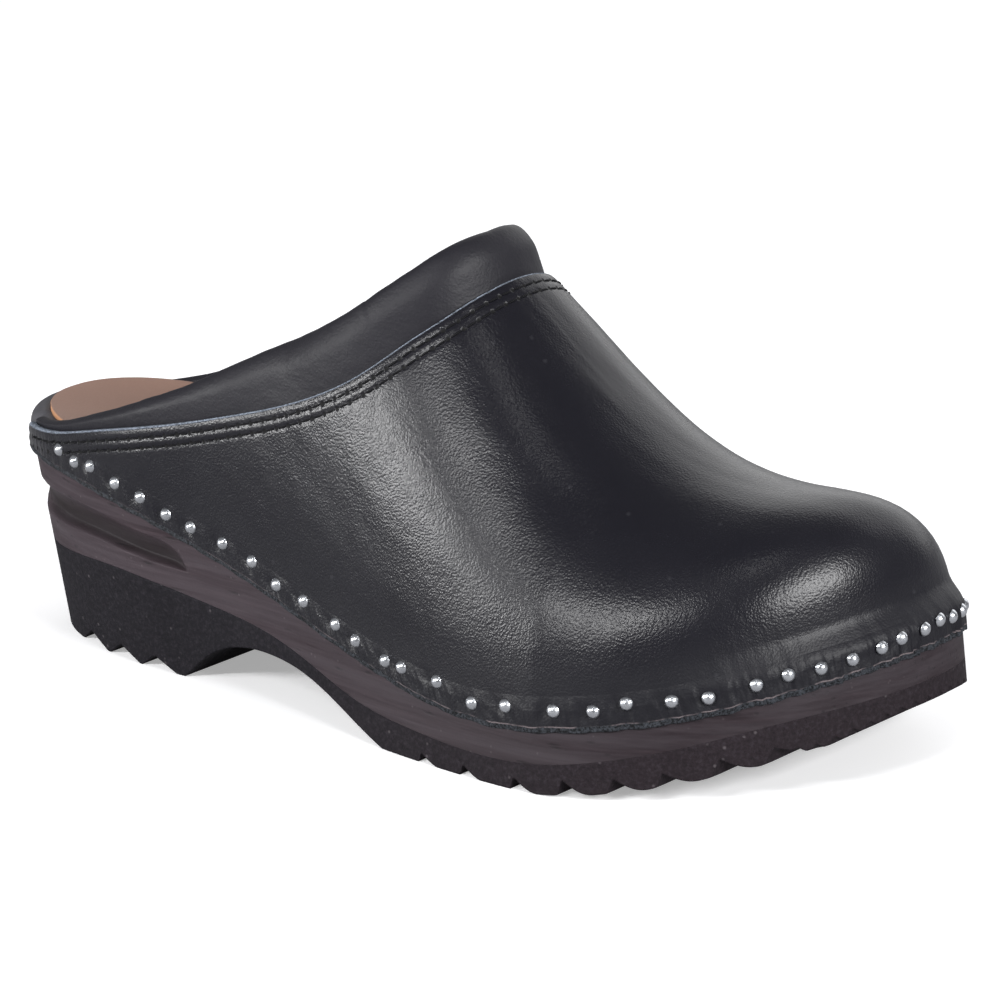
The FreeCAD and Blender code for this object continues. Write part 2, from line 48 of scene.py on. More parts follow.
# ---------------------------------------------------------------- the last: outline, levels, upper's form
# Lengths are millimetres from the back of the heel (x), across (y, towards the inner side) and up (z).
SOLE_LENGTH = 262.5
HEEL_BACK = -1.2
HEEL_CAP_END, TOE_CAP_START = 62.0, 196.0
HEEL_HALF_WIDTH, BALL_HALF_WIDTH = 35.0, 50.3
HEEL_ROUNDNESS, TOE_ROUNDNESS = 2.25, 2.2
NAIL_MARGIN = 4.6            # leather below the nails
LEATHER = 2.2
RIM_ABOVE_NAILS = 5.6
WALL_STEP = 0.8
DISH_DEPTH = 5.0
UPPER_REAR = 9.0             # the upper starts this far from the back of the heel
TOE_TUCK = 4.2


def smooth_line(points):
    """Natural cubic spline through (x, value) points, straight beyond its ends."""
    xs, ys = np.array(points, float).T
    h = np.diff(xs)
    n = len(xs)
    a = np.eye(n)
    b = np.zeros(n)
    for i in range(1, n - 1):
        a[i, i - 1:i + 2] = h[i - 1], 2 * (h[i - 1] + h[i]), h[i]
        b[i] = 6 * ((ys[i + 1] - ys[i]) / h[i] - (ys[i] - ys[i - 1]) / h[i - 1])
    m = np.linalg.solve(a, b)

    def value(x):
        x = np.asarray(x, float)
        k = np.clip(np.searchsorted(xs, x) - 1, 0, n - 2)
        xc = np.clip(x, xs[0], xs[-1])
        p, q = (xs[k + 1] - xc) / h[k], (xc - xs[k]) / h[k]
        inside = p * ys[k] + q * ys[k + 1] + ((p**3 - p) * m[k] + (q**3 - q) * m[k + 1]) * h[k]**2 / 6
        slope = (ys[k + 1] - ys[k]) / h[k] + ((3 * q**2 - 1) * m[k + 1] - (3 * p**2 - 1) * m[k]) * h[k] / 6
        return inside + slope * (x - xc)
    return value


def ramp(x, x0, x1):
    return np.clip((x - x0) / (x1 - x0), 0, 1)


def ease(x, x0, x1):
    f = ramp(x, x0, x1)
    return f * f * (3 - 2 * f)


centre_line = smooth_line([(0, 1), (30, -1), (62, -3.4), (96, -4.2), (130, -4.5), (165, -2.9), (196, -1.5),
                           (221, 3), (244, 9.5), (262, 16)])
half_width = smooth_line([(62, 35), (96, 34.6), (130, 39.1), (165, 46.9), (196, 50.3)])
nail_line = smooth_line([(0, 51.5), (40, 50), (80, 41), (120, 29), (155, 21), (180, 18.5), (205, 20.5),
                         (235, 26), (262, 34)])
ridge_height = smooth_line([(100, 112.6), (150, 93.3), (175, 72), (200, 51.4), (225, 44.5), (262, 58.3)])
TOPLINE = [(9, 53.2), (29, 56.2), (44, 59.8), (61, 63.6), (77, 67.2), (92, 71.2), (108, 76), (120, 80.6),
           (131, 86.2), (138, 91), (145, 96.6), (152, 102.4), (157.5, 108.2)]
topline_height = smooth_line(TOPLINE)
rubber_top = smooth_line([(-6, 22), (28, 24), (50, 25), (72, 23), (90, 20.8), (104, 18.6), (120, 14.4),
                          (136, 9.8), (155, 7.5), (185, 6.4), (203, 8), (215, 10.3), (230, 14), (247, 19),
                          (268, 23.4)])
arch_underside = smooth_line([(71, 0), (75, 3.2), (80, 7.2), (86, 10.6), (93, 12.7), (102, 13.4), (110, 12.9),
                              (117, 11.6), (124, 9.4), (132, 6.2), (140, 2.9), (148, 0)])


def cap_ratio(across, beyond, power):
    """Superellipse ratio of an end: across and beyond are shares of its half width and its length."""
    return (across**power + np.clip(beyond, 0, None)**power)**(1 / power)


def plan_ratio(x, y):
    """0 on the centre line, 1 on the outline."""
    across = np.abs(y - centre_line(np.clip(x, 0, SOLE_LENGTH)))
    to_heel = (HEEL_CAP_END - x) / (HEEL_CAP_END - HEEL_BACK)
    to_toe = (x - TOE_CAP_START) / (SOLE_LENGTH - TOE_CAP_START)
    heel = cap_ratio(across / HEEL_HALF_WIDTH, to_heel, HEEL_ROUNDNESS)
    toe = cap_ratio(across / BALL_HALF_WIDTH, to_toe, TOE_ROUNDNESS)
    waist = across / half_width(np.clip(x, HEEL_CAP_END, TOE_CAP_START))
    return np.where(x < HEEL_CAP_END, heel, np.where(x > TOE_CAP_START, toe, waist))


def upper_ratio(p):
    """Negative inside the upper's outer face, zero on it; p is an array of points."""
    x, y, z = p[..., 0], p[..., 1], p[..., 2]
    above = z - nail_line(x)
    tuck = TOE_TUCK * ease(above, 1, 10) * ramp(x, 215, SOLE_LENGTH)
    wide = ramp(x, 140, 230)
    rise = np.clip(above / ridge_height(x), 0, None)
    return plan_ratio(x + tuck, y)**(1.92 + 0.16 * wide) + rise**(1.83 + 0.29 * wide) - 1


def upper_normals(p):
    g = np.stack([upper_ratio(p + d) - upper_ratio(p - d) for d in 0.05 * np.eye(3)], -1)
    return g / np.linalg.norm(g, axis=-1, keepdims=True)


def reach(origin, direction):
    """Where rays from inside meet the upper's outer face."""
    near = np.zeros(direction.shape[:-1])
    far = near + 160.0
    for _ in range(36):
        middle = (near + far) / 2
        inside = upper_ratio(origin + direction * middle[..., None]) < 0
        near = np.where(inside, middle, near)
        far = np.where(inside, far, middle)
    return origin + direction * near[..., None]


def unit(v):
    return v / np.linalg.norm(v, axis=-1, keepdims=True)


def resample(points, fractions):
    """Points at fractions of the length of a polyline."""
    lengths = np.r_[0, np.cumsum(np.linalg.norm(np.diff(points, axis=0), axis=1))]
    return np.stack([np.interp(fractions * lengths[-1], lengths, points[:, k])
                     for k in range(points.shape[1])], -1)


def polyline_length(points):
    return float(np.linalg.norm(np.diff(points, axis=0), axis=1).sum())


def outline_sides(count):
    """Outer and inner half of the outline in even steps, from the back of the heel to the toe."""
    turn = np.linspace(0, math.pi / 2, 3000)

    def cap(start, end, width, power):
        return start + (end - start) * np.sin(turn)**(2 / power), width * np.cos(turn).clip(0)**(2 / power)
    heel_x, heel_w = cap(HEEL_CAP_END, HEEL_BACK, HEEL_HALF_WIDTH, HEEL_ROUNDNESS)
    toe_x, toe_w = cap(TOE_CAP_START, SOLE_LENGTH, BALL_HALF_WIDTH, TOE_ROUNDNESS)
    waist_x = np.arange(HEEL_CAP_END + 0.1, TOE_CAP_START, 0.1)
    dense = np.stack([np.r_[heel_x[::-1], waist_x, toe_x],
                      np.r_[heel_w[::-1], half_width(waist_x), toe_w]], -1)
    x, width = resample(dense, np.linspace(0, 1, count)).T
    return np.stack([x, centre_line(x) - width], -1), np.stack([x, centre_line(x) + width], -1)


def outline_loop(count):
    """Closed outline and its outward normals: heel to toe on the outer side, then back on the inner side."""
    outer, inner = outline_sides(count)
    loop = np.vstack([outer, inner[::-1][1:-1]])
    along = np.roll(loop, -1, 0) - np.roll(loop, 1, 0)
    normals = unit(np.stack([along[:, 1], -along[:, 0]], -1))
    return np.vstack([loop, loop[:1]]), np.vstack([normals, normals[:1]])


def base_outline():
    """Outline from the rear outer corner of the upper round the toe to the rear inner corner."""
    outer, inner = (side[side[:, 0] >= UPPER_REAR] for side in outline_sides(1500))
    return np.vstack([outer, inner[::-1][1:]])


def topline_points(count):
    fraction = np.linspace(0, 1, count)
    side = np.where(fraction <= 0.5, -1.0, 1.0)
    turn = math.pi / 2 * (1 - np.abs(1 - 2 * fraction))
    x = TOPLINE[0][0] + (TOPLINE[-1][0] - TOPLINE[0][0]) * np.sin(turn)
    z = topline_height(x)
    origin = np.stack([x, centre_line(x), z], -1)
    sideways = reach(origin, np.stack([0 * x, side, 0 * x], -1))
    upward = reach(np.stack([x, centre_line(x), 0 * x + 40], -1), np.tile([0.0, 0, 1], (count, 1)))
    return np.where((upper_ratio(origin) > -1e-6)[:, None], upward, sideways)


BASE = base_outline()
TOP_EDGE = topline_points(801)
BASE_LENGTH = polyline_length(BASE)
TOP_LENGTH = polyline_length(TOP_EDGE)

# nails: gaps along the base from the rear outer end, as in the solid model
NAIL_GAPS = [7.5, 7, 9.5, 9, 8.5, 8, 10.5, 10, 8.5, 10, 12, 7.5, 11, 6, 12.5, 11.5, 10.5, 13.5, 10, 8,
             10.5, 8.5, 11, 7.5, 8, 8, 8, 6, 8, 6, 6, 7, 9, 9, 8, 10, 9, 11, 8, 10, 12, 9, 11, 10, 12, 9,
             11, 10, 12, 10, 9, 11, 10, 9, 8, 8]
UNEVEN_NAILS = {0: 0.4, 1: -0.4, 2: 0.8, 5: -0.8, 6: -0.5, 7: 0.4, 8: 0.7, 9: -0.9, 12: -0.6, 13: -0.8,
                15: 1.1, 16: -0.9, 17: 0.3, 19: -0.4, 20: 0.9, 22: -0.8, 23: -0.4, 25: -0.7, 26: -1,
                27: -0.5, 30: 0.7, 36: 0.6, 43: -0.6, 50: 0.8}
FIRST_NAIL = 25.0
NAIL_LIFT = 0.8
NAIL_AT = np.array([FIRST_NAIL] + NAIL_GAPS).cumsum()
NAIL_AT = NAIL_AT[NAIL_AT <= BASE_LENGTH - FIRST_NAIL + 4]

# ---- from the last's millimetres to the frame ----
BACK_OF_WOOD = HEEL_BACK + WALL_STEP
OUTER_MOST = BASE[:, 1].min()
OFFSET = Vector((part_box("wooden_sole")[0][0] - BACK_OF_WOOD * MM,
                 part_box("vamp")[0][1] - OUTER_MOST * MM, 0))


def to_frame(points):
    return points * MM + np.array(OFFSET)


# ---------------------------------------------------------------- mesh helpers
def new_object(name, mesh):
    piece = bpy.data.objects.new(name, mesh)
    bpy.context.scene.collection.objects.link(piece)
    return piece


def shaped_grid(name, columns, rows, shape, merge=0.0):
    """A grid of quads whose points are placed by shape(u, v), which returns millimetres and attributes."""
    bm = bmesh.new()
    bmesh.ops.create_grid(bm, x_segments=columns, y_segments=rows, size=0.5)
    mesh = bpy.data.meshes.new(name)
    bm.to_mesh(mesh)
    bm.free()
    flat = np.empty(len(mesh.vertices) * 3)
    mesh.vertices.foreach_get("co", flat)
    flat = flat.reshape(-1, 3)
    u = np.round((flat[:, 0] + 0.5) * columns).astype(int)
    v = np.round((flat[:, 1] + 0.5) * rows).astype(int)
    points, values = shape(np.arange(columns + 1) / columns, np.arange(rows + 1) / rows)
    mesh.vertices.foreach_set("co", to_frame(points[u, v]).ravel())
    for key, grid in values.items():
        mesh.attributes.new(key, "FLOAT", "POINT").data.foreach_set("value", grid[u, v].astype(float))
    if merge:
        bm = bmesh.new()
        bm.from_mesh(mesh)
        bmesh.ops.remove_doubles(bm, verts=bm.verts, dist=merge * MM)
        bmesh.ops.recalc_face_normals(bm, faces=bm.faces)
        bm.to_mesh(mesh)
        bm.free()
    mesh.polygons.foreach_set("use_smooth", [True] * len(mesh.polygons))
    mesh.update()
    return new_object(name, mesh)


def layered_noise(x, y, seed):
    """Smooth wandering value in about -1..1 from a few sine waves; x and y in wave lengths."""
    rng = np.random.default_rng(seed)
    total = 0
    for octave in (1, 1.7, 2.9, 4.3):
        angle, phase, phase2 = rng.uniform(0, 2 * math.pi, 3)
        dx, dy = math.cos(angle) * octave, math.sin(angle) * octave
        total = total + np.sin(2 * math.pi * (x * dx + y * dy) + phase) * np.cos(
            2 * math.pi * (x * dy - y * dx) * 0.7 + phase2) / octave
    return total / 1.6


# ---------------------------------------------------------------- the upper
COLLAR_WIDTH = 8.0
COLLAR_LEATHER = 1.2
COLLAR_SEAM = 7.5
COLLAR_FLARE = 28.0
FIT_GAP = 0.25
STITCH_PITCH = 4.0
STITCH_ROWS = (2.7, 5.2)
STITCH_COUNT = int(TOP_LENGTH / STITCH_PITCH)
STITCH_STEP = TOP_LENGTH / (STITCH_COUNT - 1)
collar_height = smooth_line([(0, 1.4), (0.05, 2.2), (0.1, 3.6), (0.2, 8.6), (0.3, 15.2), (0.38, 15.6),
                             (0.5, 13.3)])


def edge_frames(fractions):
    """Point on the upper's top edge, direction up from it, outward and along."""
    fractions = np.asarray(fractions, float)
    point = resample(TOP_EDGE, fractions)
    ahead = resample(TOP_EDGE, np.minimum(1, fractions + 0.01))
    behind = resample(TOP_EDGE, np.maximum(0, fractions - 0.01))
    along = unit(ahead - behind)
    outward = upper_normals(point)
    up = unit(np.cross(along, outward))
    up = np.where(up[:, 2:] < 0, -up, up)
    return point, up, outward, along


def upper_lines(fractions, distance_of):
    """Points of the upper on lines from its lower edge to its top edge, and their distances up the lines."""
    base = resample(BASE, fractions)
    base = np.c_[base, nail_line(base[:, 0]) - NAIL_MARGIN]
    along_top = 0.5 * (1 - np.abs(1 - 2 * fractions)**1.5)
    top = resample(TOP_EDGE, np.where(fractions > 0.5, 1 - along_top, along_top))
    origin = np.stack([top[:, 0], centre_line(top[:, 0]), base[:, 2] + 4], -1)
    start, end = unit(base - origin), unit(top - origin)
    angle = np.arccos(np.clip((start * end).sum(-1), -1, 1))[:, None]

    def points_at(t):
        mixed = (start[:, None] * np.sin((1 - t) * angle)[..., None]
                 + end[:, None] * np.sin(t * angle)[..., None])
        return reach(origin[:, None], unit(mixed))
    even = np.tile(np.linspace(0, 1, 121)**1.3, (len(base), 1))
    fine = points_at(even)
    steps = np.linalg.norm(np.diff(fine, axis=1), axis=-1)
    run = np.concatenate([np.zeros((len(base), 1)), steps.cumsum(1)], 1)
    wanted = distance_of(run[:, -1])
    t = np.array([np.interp(w, r, e) for w, r, e in zip(wanted, run, even)])
    return points_at(t), wanted


def nearest_on_edge(points):
    """Distance to the top edge and length along it of the nearest spot."""
    lengths = np.r_[0, np.linalg.norm(np.diff(TOP_EDGE, axis=0), axis=1).cumsum()]
    flat = points.reshape(-1, 3)
    distance, along = np.empty(len(flat)), np.empty(len(flat))
    for i in range(0, len(flat), 4000):
        square = ((flat[i:i + 4000, None] - TOP_EDGE[None])**2).sum(-1)
        k = square.argmin(1)
        distance[i:i + 4000] = np.sqrt(square[np.arange(len(k)), k])
        along[i:i + 4000] = lengths[k]
    return distance.reshape(points.shape[:-1]), along.reshape(points.shape[:-1])


def nail_gap(a):
    """Which gap between nails a length along the base falls in, how far through it, and the nearest nail."""
    places = np.r_[NAIL_AT[0] - 12, NAIL_AT, NAIL_AT[-1] + 12]
    k = np.clip(np.searchsorted(places, a) - 1, 0, len(places) - 2)
    part = np.clip((a - places[k]) / (places[k + 1] - places[k]), 0, 1)
    nearest = np.clip(np.where(part < 0.5, k, k + 1) - 1, 0, len(NAIL_AT) - 1)
    return k, part, nearest


def puckers(a, d, x):
    """Relief of the leather round the nails, in mm outwards: a along the base, d up from the lower edge."""
    k, part, nearest = nail_gap(a)
    rng = np.random.default_rng(7)
    count = len(NAIL_AT) + 1
    ridges = rng.integers(2, 4, count)[k]
    phase = rng.uniform(0, 2 * math.pi, count)[k]
    strength = rng.uniform(0.5, 1.2, count)[k]
    spread = rng.uniform(3.5, 8.0, count)[k]
    head = NAIL_MARGIN + NAIL_LIFT + np.array([UNEVEN_NAILS.get(i, 0) for i in range(len(NAIL_AT))])[nearest]
    puff = np.sin(math.pi * part)**0.8
    toe = ramp(x, 190, 252)
    above = np.clip(d - head, 0, None)
    below = np.clip(head - d, 0, None) / NAIL_MARGIN
    relief = 0.14 * puff * np.exp(-(above / 5.5)**2) * (0.6 + 0.7 * toe)
    relief = relief + 0.25 * puff * below * (0.5 + 0.8 * toe)
    fold = np.cos(2 * math.pi * ridges * part + phase + 0.25 * np.sin(d * 0.5 + phase))
    window = np.sin(math.pi * part)**0.35
    size = (0.07 + 0.25 * toe**1.3) * strength
    relief = relief + size * fold * window * np.exp(-above / spread) * (1 + 0.5 * below)
    away = np.hypot(a - NAIL_AT[nearest], d - head)
    return relief - 0.42 * np.exp(-(away / 2.1)**2)


def stitch_dents(e):
    """Relief near the top edge: two sewn rows pull the leather in and the strips beside them swell."""
    relief = -0.22 * np.exp(-(e / 0.9)**2)
    for row in STITCH_ROWS:
        relief = relief - 0.12 * np.exp(-((e - row) / 0.55)**2)
    return relief + 0.06 * np.exp(-((e - 3.95) / 0.6)**2)


UPPER_COLUMNS, UPPER_ROWS, LINING_ROWS = 512, 100, 24


def make_upper():
    corner = 0.35
    edge_rows = [(0.0, LEATHER - corner), (0.0, LEATHER / 2), (0.0, corner), (0.1, 0.1), (corner, 0.0)]
    out = np.linspace(0, 1, UPPER_ROWS)[1:-1]
    back = np.linspace(1, 0, LINING_ROWS)[1:-1]

    def distance_of(length):
        h = length[:, None]
        low, high = np.minimum(15, 0.35 * h), np.minimum(11, 0.22 * h)
        outer = np.where(out < 0.34, low * out / 0.34, np.where(
            out < 0.78, low + (h - high - low) * (out - 0.34) / 0.44, h - high * (1 - out) / 0.22))
        outer = np.clip(outer, corner + 0.05, h - corner - 0.05)
        lower = [np.full_like(h, r[0]) for r in edge_rows]
        upper_edge = [h - r[0] for r in edge_rows[::-1]]
        inner = np.clip(h * back, corner, h - corner)
        lining = [inner, np.full_like(h, corner), np.full_like(h, 0.0)]
        return np.hstack(lower + [outer] + upper_edge + lining)
    depth = np.r_[[r[1] for r in edge_rows], np.zeros(len(out)), [r[1] for r in edge_rows[::-1]],
                  np.full(len(back), LEATHER), LEATHER, LEATHER - corner]
    rows = len(depth) - 1
    ends = np.array([0, 0.15, 0.5, 1.0]) / BASE_LENGTH

    def shape(u, v):
        fractions = np.r_[ends, np.linspace(ends[-1], 1 - ends[-1], len(u) - 6)[1:-1], 1 - ends[::-1]]
        points, d = upper_lines(fractions, distance_of)
        normal = upper_normals(points)
        a = np.broadcast_to(fractions[:, None] * BASE_LENGTH, d.shape)
        x = points[..., 0]
        e, along = nearest_on_edge(points)
        rounded = np.sqrt(1 - (1 - np.minimum(1, np.minimum(a, BASE_LENGTH - a)))**2)
        inside = LEATHER / 2 + (depth - LEATHER / 2) * rounded
        outer_side = depth < LEATHER / 2
        relief = puckers(a, d, x) * np.where(outer_side, 1, 0.35)
        relief = relief + stitch_dents(e) * np.where(outer_side, 1, 0)
        relief = relief + 0.10 * layered_noise(a / 60, d / 45, 3) * ramp(d, 8, 30)
        wave = 0.18 * layered_noise(a / 17, 0 * a, 11) - 0.12 * np.sin(math.pi * nail_gap(a)[1])
        points = points + normal * (relief - inside)[..., None]
        points[..., 2] += wave * np.clip(1 - d / 6, 0, 1)
        raw = np.broadcast_to((depth > 0.05) & (depth < LEATHER - 0.05), d.shape)
        return points, {"along": a, "low": d, "edge": e, "seam": along, "raw": raw,
                        "inner": np.broadcast_to(depth >= LEATHER - 0.05, d.shape)}
    return shaped_grid("leather_upper", UPPER_COLUMNS + 6, rows, shape, merge=0.004)


def section_curve(control, per_span):
    """Smooth points round a closed section; control is (columns, points, 2)."""
    p = [np.roll(control, k, axis=1) for k in (1, 0, -1, -2)]
    t = (np.arange(per_span) / per_span)[:, None]
    out = []
    for i in range(control.shape[1]):
        a, b, c, d = (q[:, i][:, None] for q in p)
        out.append(0.5 * (2 * b + (c - a) * t + (2 * a - 5 * b + 4 * c - d) * t**2
                          + (3 * b - a - 3 * c + d) * t**3))
    curve = np.concatenate(out, axis=1)
    return np.concatenate([curve, curve[:, :1]], axis=1)


def collar_outline(fractions):
    """Control points of the roll's section: n outwards and m upwards from the upper's top edge."""
    half = 0.5 - np.abs(fractions - 0.5)
    height = collar_height(half)
    width = 2.6 + (COLLAR_WIDTH - 2.6) * np.minimum(1, height / 16)
    seam = np.minimum(COLLAR_SEAM, height + 1.5)
    level = np.zeros_like(width)
    face = level - LEATHER - FIT_GAP
    back = face - width
    inner = face - 2 * COLLAR_LEATHER
    n = [face, face, face + 0.55, face + 0.45, face - width * 0.18, face - width * 0.5, back + 0.8, back,
         back + 0.6, inner - 0.6, inner]
    m = [-seam, -seam * 0.4, height * 0.3, height * 0.65, height * 0.93, height, height * 0.86, height * 0.5,
         height * 0.1, -seam * 0.5, -seam]
    return np.stack([np.stack(n, 1), np.stack(m, 1)], -1)


COLLAR_COLUMNS = 520


def make_collar():
    def shape(u, v):
        section = section_curve(collar_outline(u), 5)
        point, up, outward, along = edge_frames(u)
        flare = np.radians(COLLAR_FLARE) * ramp(0.5 - np.abs(u - 0.5), 0.3, 0.47)[:, None]
        lifted = up * np.cos(flare) + outward * np.sin(flare)
        across = outward * np.cos(flare) - up * np.sin(flare)
        centre = section.mean(1, keepdims=True)
        end = np.sqrt(1 - (1 - np.minimum(1, np.minimum(u, 1 - u) / 0.006))**2)[:, None, None]
        section = centre + (section - centre) * end
        n, m = section[..., :1], section[..., 1:]
        face = -LEATHER - FIT_GAP
        above = point[:, None] + outward[:, None] * face + across[:, None] * (n - face) + lifted[:, None] * m
        below = point[:, None] + outward[:, None] * n + up[:, None] * m
        points = np.where(m > 0, above, below)
        length = u * TOP_LENGTH
        round_section = np.tile(v * 40, (len(u), 1))
        ripple = 0.16 * layered_noise(length[:, None] / 34, round_section / 30, 5)
        outward_now = np.gradient(points, axis=1)
        outward_now = unit(np.cross(outward_now, along[:, None]) + 1e-9)
        points = points + outward_now * (ripple * ramp(m[..., 0], 0.5, 4))[..., None]
        return points, {}
    return shaped_grid("collar_roll", COLLAR_COLUMNS, 55, shape, merge=0.004)


def axes_at(x_axis, y_axis, z_axis, place):
    """Matrix that carries the three axes to those given, and the origin to a place."""
    return Matrix.Translation(place) @ Matrix((x_axis, y_axis, z_axis)).transposed().to_4x4()


def make_stitches(name, distance, skipped):
    """Short bedded stitches with tapered ends, along the edge."""
    fractions = (np.arange(STITCH_COUNT) / (STITCH_COUNT - 1))[skipped:-skipped]
    point, up, outward, along = edge_frames(fractions)
    spots = reach(point - up * distance - outward * 12, outward)
    normal = upper_normals(spots)
    bm = bmesh.new()
    rng = np.random.default_rng(int(distance * 10))
    for spot, out, way in zip(spots, normal, along):
        lean = Vector(way).cross(Vector(out)) * float(rng.uniform(-0.06, 0.06))
        axis = (Vector(way) + lean).normalized()
        side = Vector(out).cross(axis).normalized()
        up_axis = axis.cross(side)
        place = Vector(to_frame(spot - out * 0.02))
        size = (1.50 * MM * float(rng.uniform(0.92, 1.08)), 0.28 * MM, 0.27 * MM)
        turn = axes_at(axis * size[0], side * size[1], up_axis * size[2], place)
        bmesh.ops.create_uvsphere(bm, u_segments=8, v_segments=6, radius=1.0,
                                  matrix=turn @ POLE_ALONG_X)
    mesh = bpy.data.meshes.new(name)
    bm.to_mesh(mesh)
    bm.free()
    mesh.polygons.foreach_set("use_smooth", [True] * len(mesh.polygons))
    return new_object(name, mesh)


POLE_ALONG_X = Matrix.Rotation(math.pi / 2, 4, "Y")

# ---------------------------------------------------------------- the sole
SIDE_TAPER, BACK_TAPER, TOE_FLARE = 0.095, 0.10, -0.08
SEAT_STEP = LEATHER + FIT_GAP
RIM_ROUND = 4.4              # round-over between the seat of the upper and the foot bed
SOLE_STATIONS = 400
HEEL_BREAST, FORE_LUG_START = 71.0, 148.0
HEEL_NOTCHES = (34.1, 47.8, 61.2)
FORE_NOTCHES = ((161.2, 2.7), (175.2, 3.0), (191, 3.4), (204.2, 4), (216.2, 3.8), (226.6, 3.6), (237.3, 4.4),
                (246.3, 3.8))
LOBE_LENGTH = 7.6
SCALLOP_PITCH, SCALLOP_RISE = 4.6, 1.4
TOE_SPRING_START, TOE_SPRING = 190.0, 15.6


def wall_taper(x, normal_x):
    sides = SIDE_TAPER + (TOE_FLARE - SIDE_TAPER) * ramp(x, 70, 150)
    return sides + np.where(x < HEEL_CAP_END, BACK_TAPER * np.clip(-normal_x, 0, None)**1.5, 0)


def bed_height(x, y):
    dish = DISH_DEPTH * (1 - np.minimum(1.25, plan_ratio(x, y))**3)
    return nail_line(x) + RIM_ABOVE_NAILS - dish


def tread_floor(x):
    return TOE_SPRING * ramp(x, TOE_SPRING_START, SOLE_LENGTH + 6)**1.7 * (
        (SOLE_LENGTH + 6 - TOE_SPRING_START) / (SOLE_LENGTH - TOE_SPRING_START))**1.7


def tread_profile():
    """Height of the underside along the sole: saw teeth under the heel, arch, then lobes to the toe."""
    points = [(-6.0, 0.0)]
    for notch in HEEL_NOTCHES:
        points += [(notch - 5.7, 0), (notch, 3.9), (notch + 7.9, 0)]
    points.append((HEEL_BREAST, 0))
    arch_x = np.arange(HEEL_BREAST + 0.1, FORE_LUG_START, 0.5)
    points += list(zip(arch_x, arch_underside(arch_x)))
    lobe = np.linspace(0, 1, 9)
    for notch, rise in FORE_NOTCHES:
        points.append((notch - 0.7, float(tread_floor(notch))))
        x = notch + LOBE_LENGTH * lobe
        points += list(zip(x, tread_floor(x) + rise * (1 - np.sin(lobe * math.pi / 2))))
    tip = np.arange(254.5, SOLE_LENGTH + 12, 0.5)
    points += list(zip(tip, tread_floor(tip) + 1.8 * ramp(tip, 253, 262)))
    xs, zs = np.array(points).T
    even = np.arange(-6, SOLE_LENGTH + 12, 0.1)
    height = np.interp(even, xs, zs)
    kernel = np.exp(-0.5 * (np.arange(-15, 16) / 2.5)**2)
    rounded = np.convolve(np.pad(height, 15, mode="edge"), kernel / kernel.sum(), "valid")
    return lambda x: np.maximum(0, np.interp(x, even, rounded) - 0.3)


underside = tread_profile()


def wall_point(loop, normals, z, extra=0.0):
    """Point of the sole's wall above each outline point, at height z."""
    x = loop[:, 0]
    taper = wall_taper(x, normals[:, 0])
    inset = WALL_STEP + taper * np.clip(nail_line(x) - z, 0, None) + extra
    return loop - normals * inset[:, None]


def wall_level(loop, normals, level):
    """Height where the wall meets a level that changes along the sole."""
    z = level(loop[:, 0])
    for _ in range(6):
        z = level(wall_point(loop, normals, z)[:, 0])
    return z


def to_middle(edge, f):
    """From an edge point straight across to the centre line: f 0 at the edge, 1 at the middle."""
    middle = centre_line(np.clip(edge[:, 0], 0, SOLE_LENGTH))
    return np.stack([edge[:, 0], edge[:, 1] + (middle - edge[:, 1]) * f], -1)


FLUTE_LOW = smooth_line([(0, 31.2), (21, 30.9), (43, 31.2), (58, 29.9), (75, 28.8)])
FLUTE_RISE = smooth_line([(0, 8.2), (31, 8.2), (47, 7.6), (66, 6.8)])
FLUTE_END_START, FLUTE_END, FLUTE_DEPTH = 66.0, 76.0, 2.8


def flute_depth(x, z):
    """Slot round the heel, rounded in front; deepest at its lower lip, but at its upper edge at the back."""
    closing = np.sqrt(np.clip(1 - ramp(x, FLUTE_END_START, FLUTE_END)**2, 0, 1))
    rise = FLUTE_RISE(np.minimum(x, FLUTE_END_START)) * closing
    f = (z - FLUTE_LOW(x)) / np.maximum(0.8, rise)
    inside = np.clip(f, 0, 1)
    side_form = ease(f, -0.02, 0.16) * (1 - inside**2.4)
    back_form = (1 - ease(f, 0.86, 1.02)) * inside**1.1 * ease(f, 0, 0.3)
    back = 1 - ease(x, 4, 16)
    return FLUTE_DEPTH * (side_form * (1 - back) + back_form * back) * closing


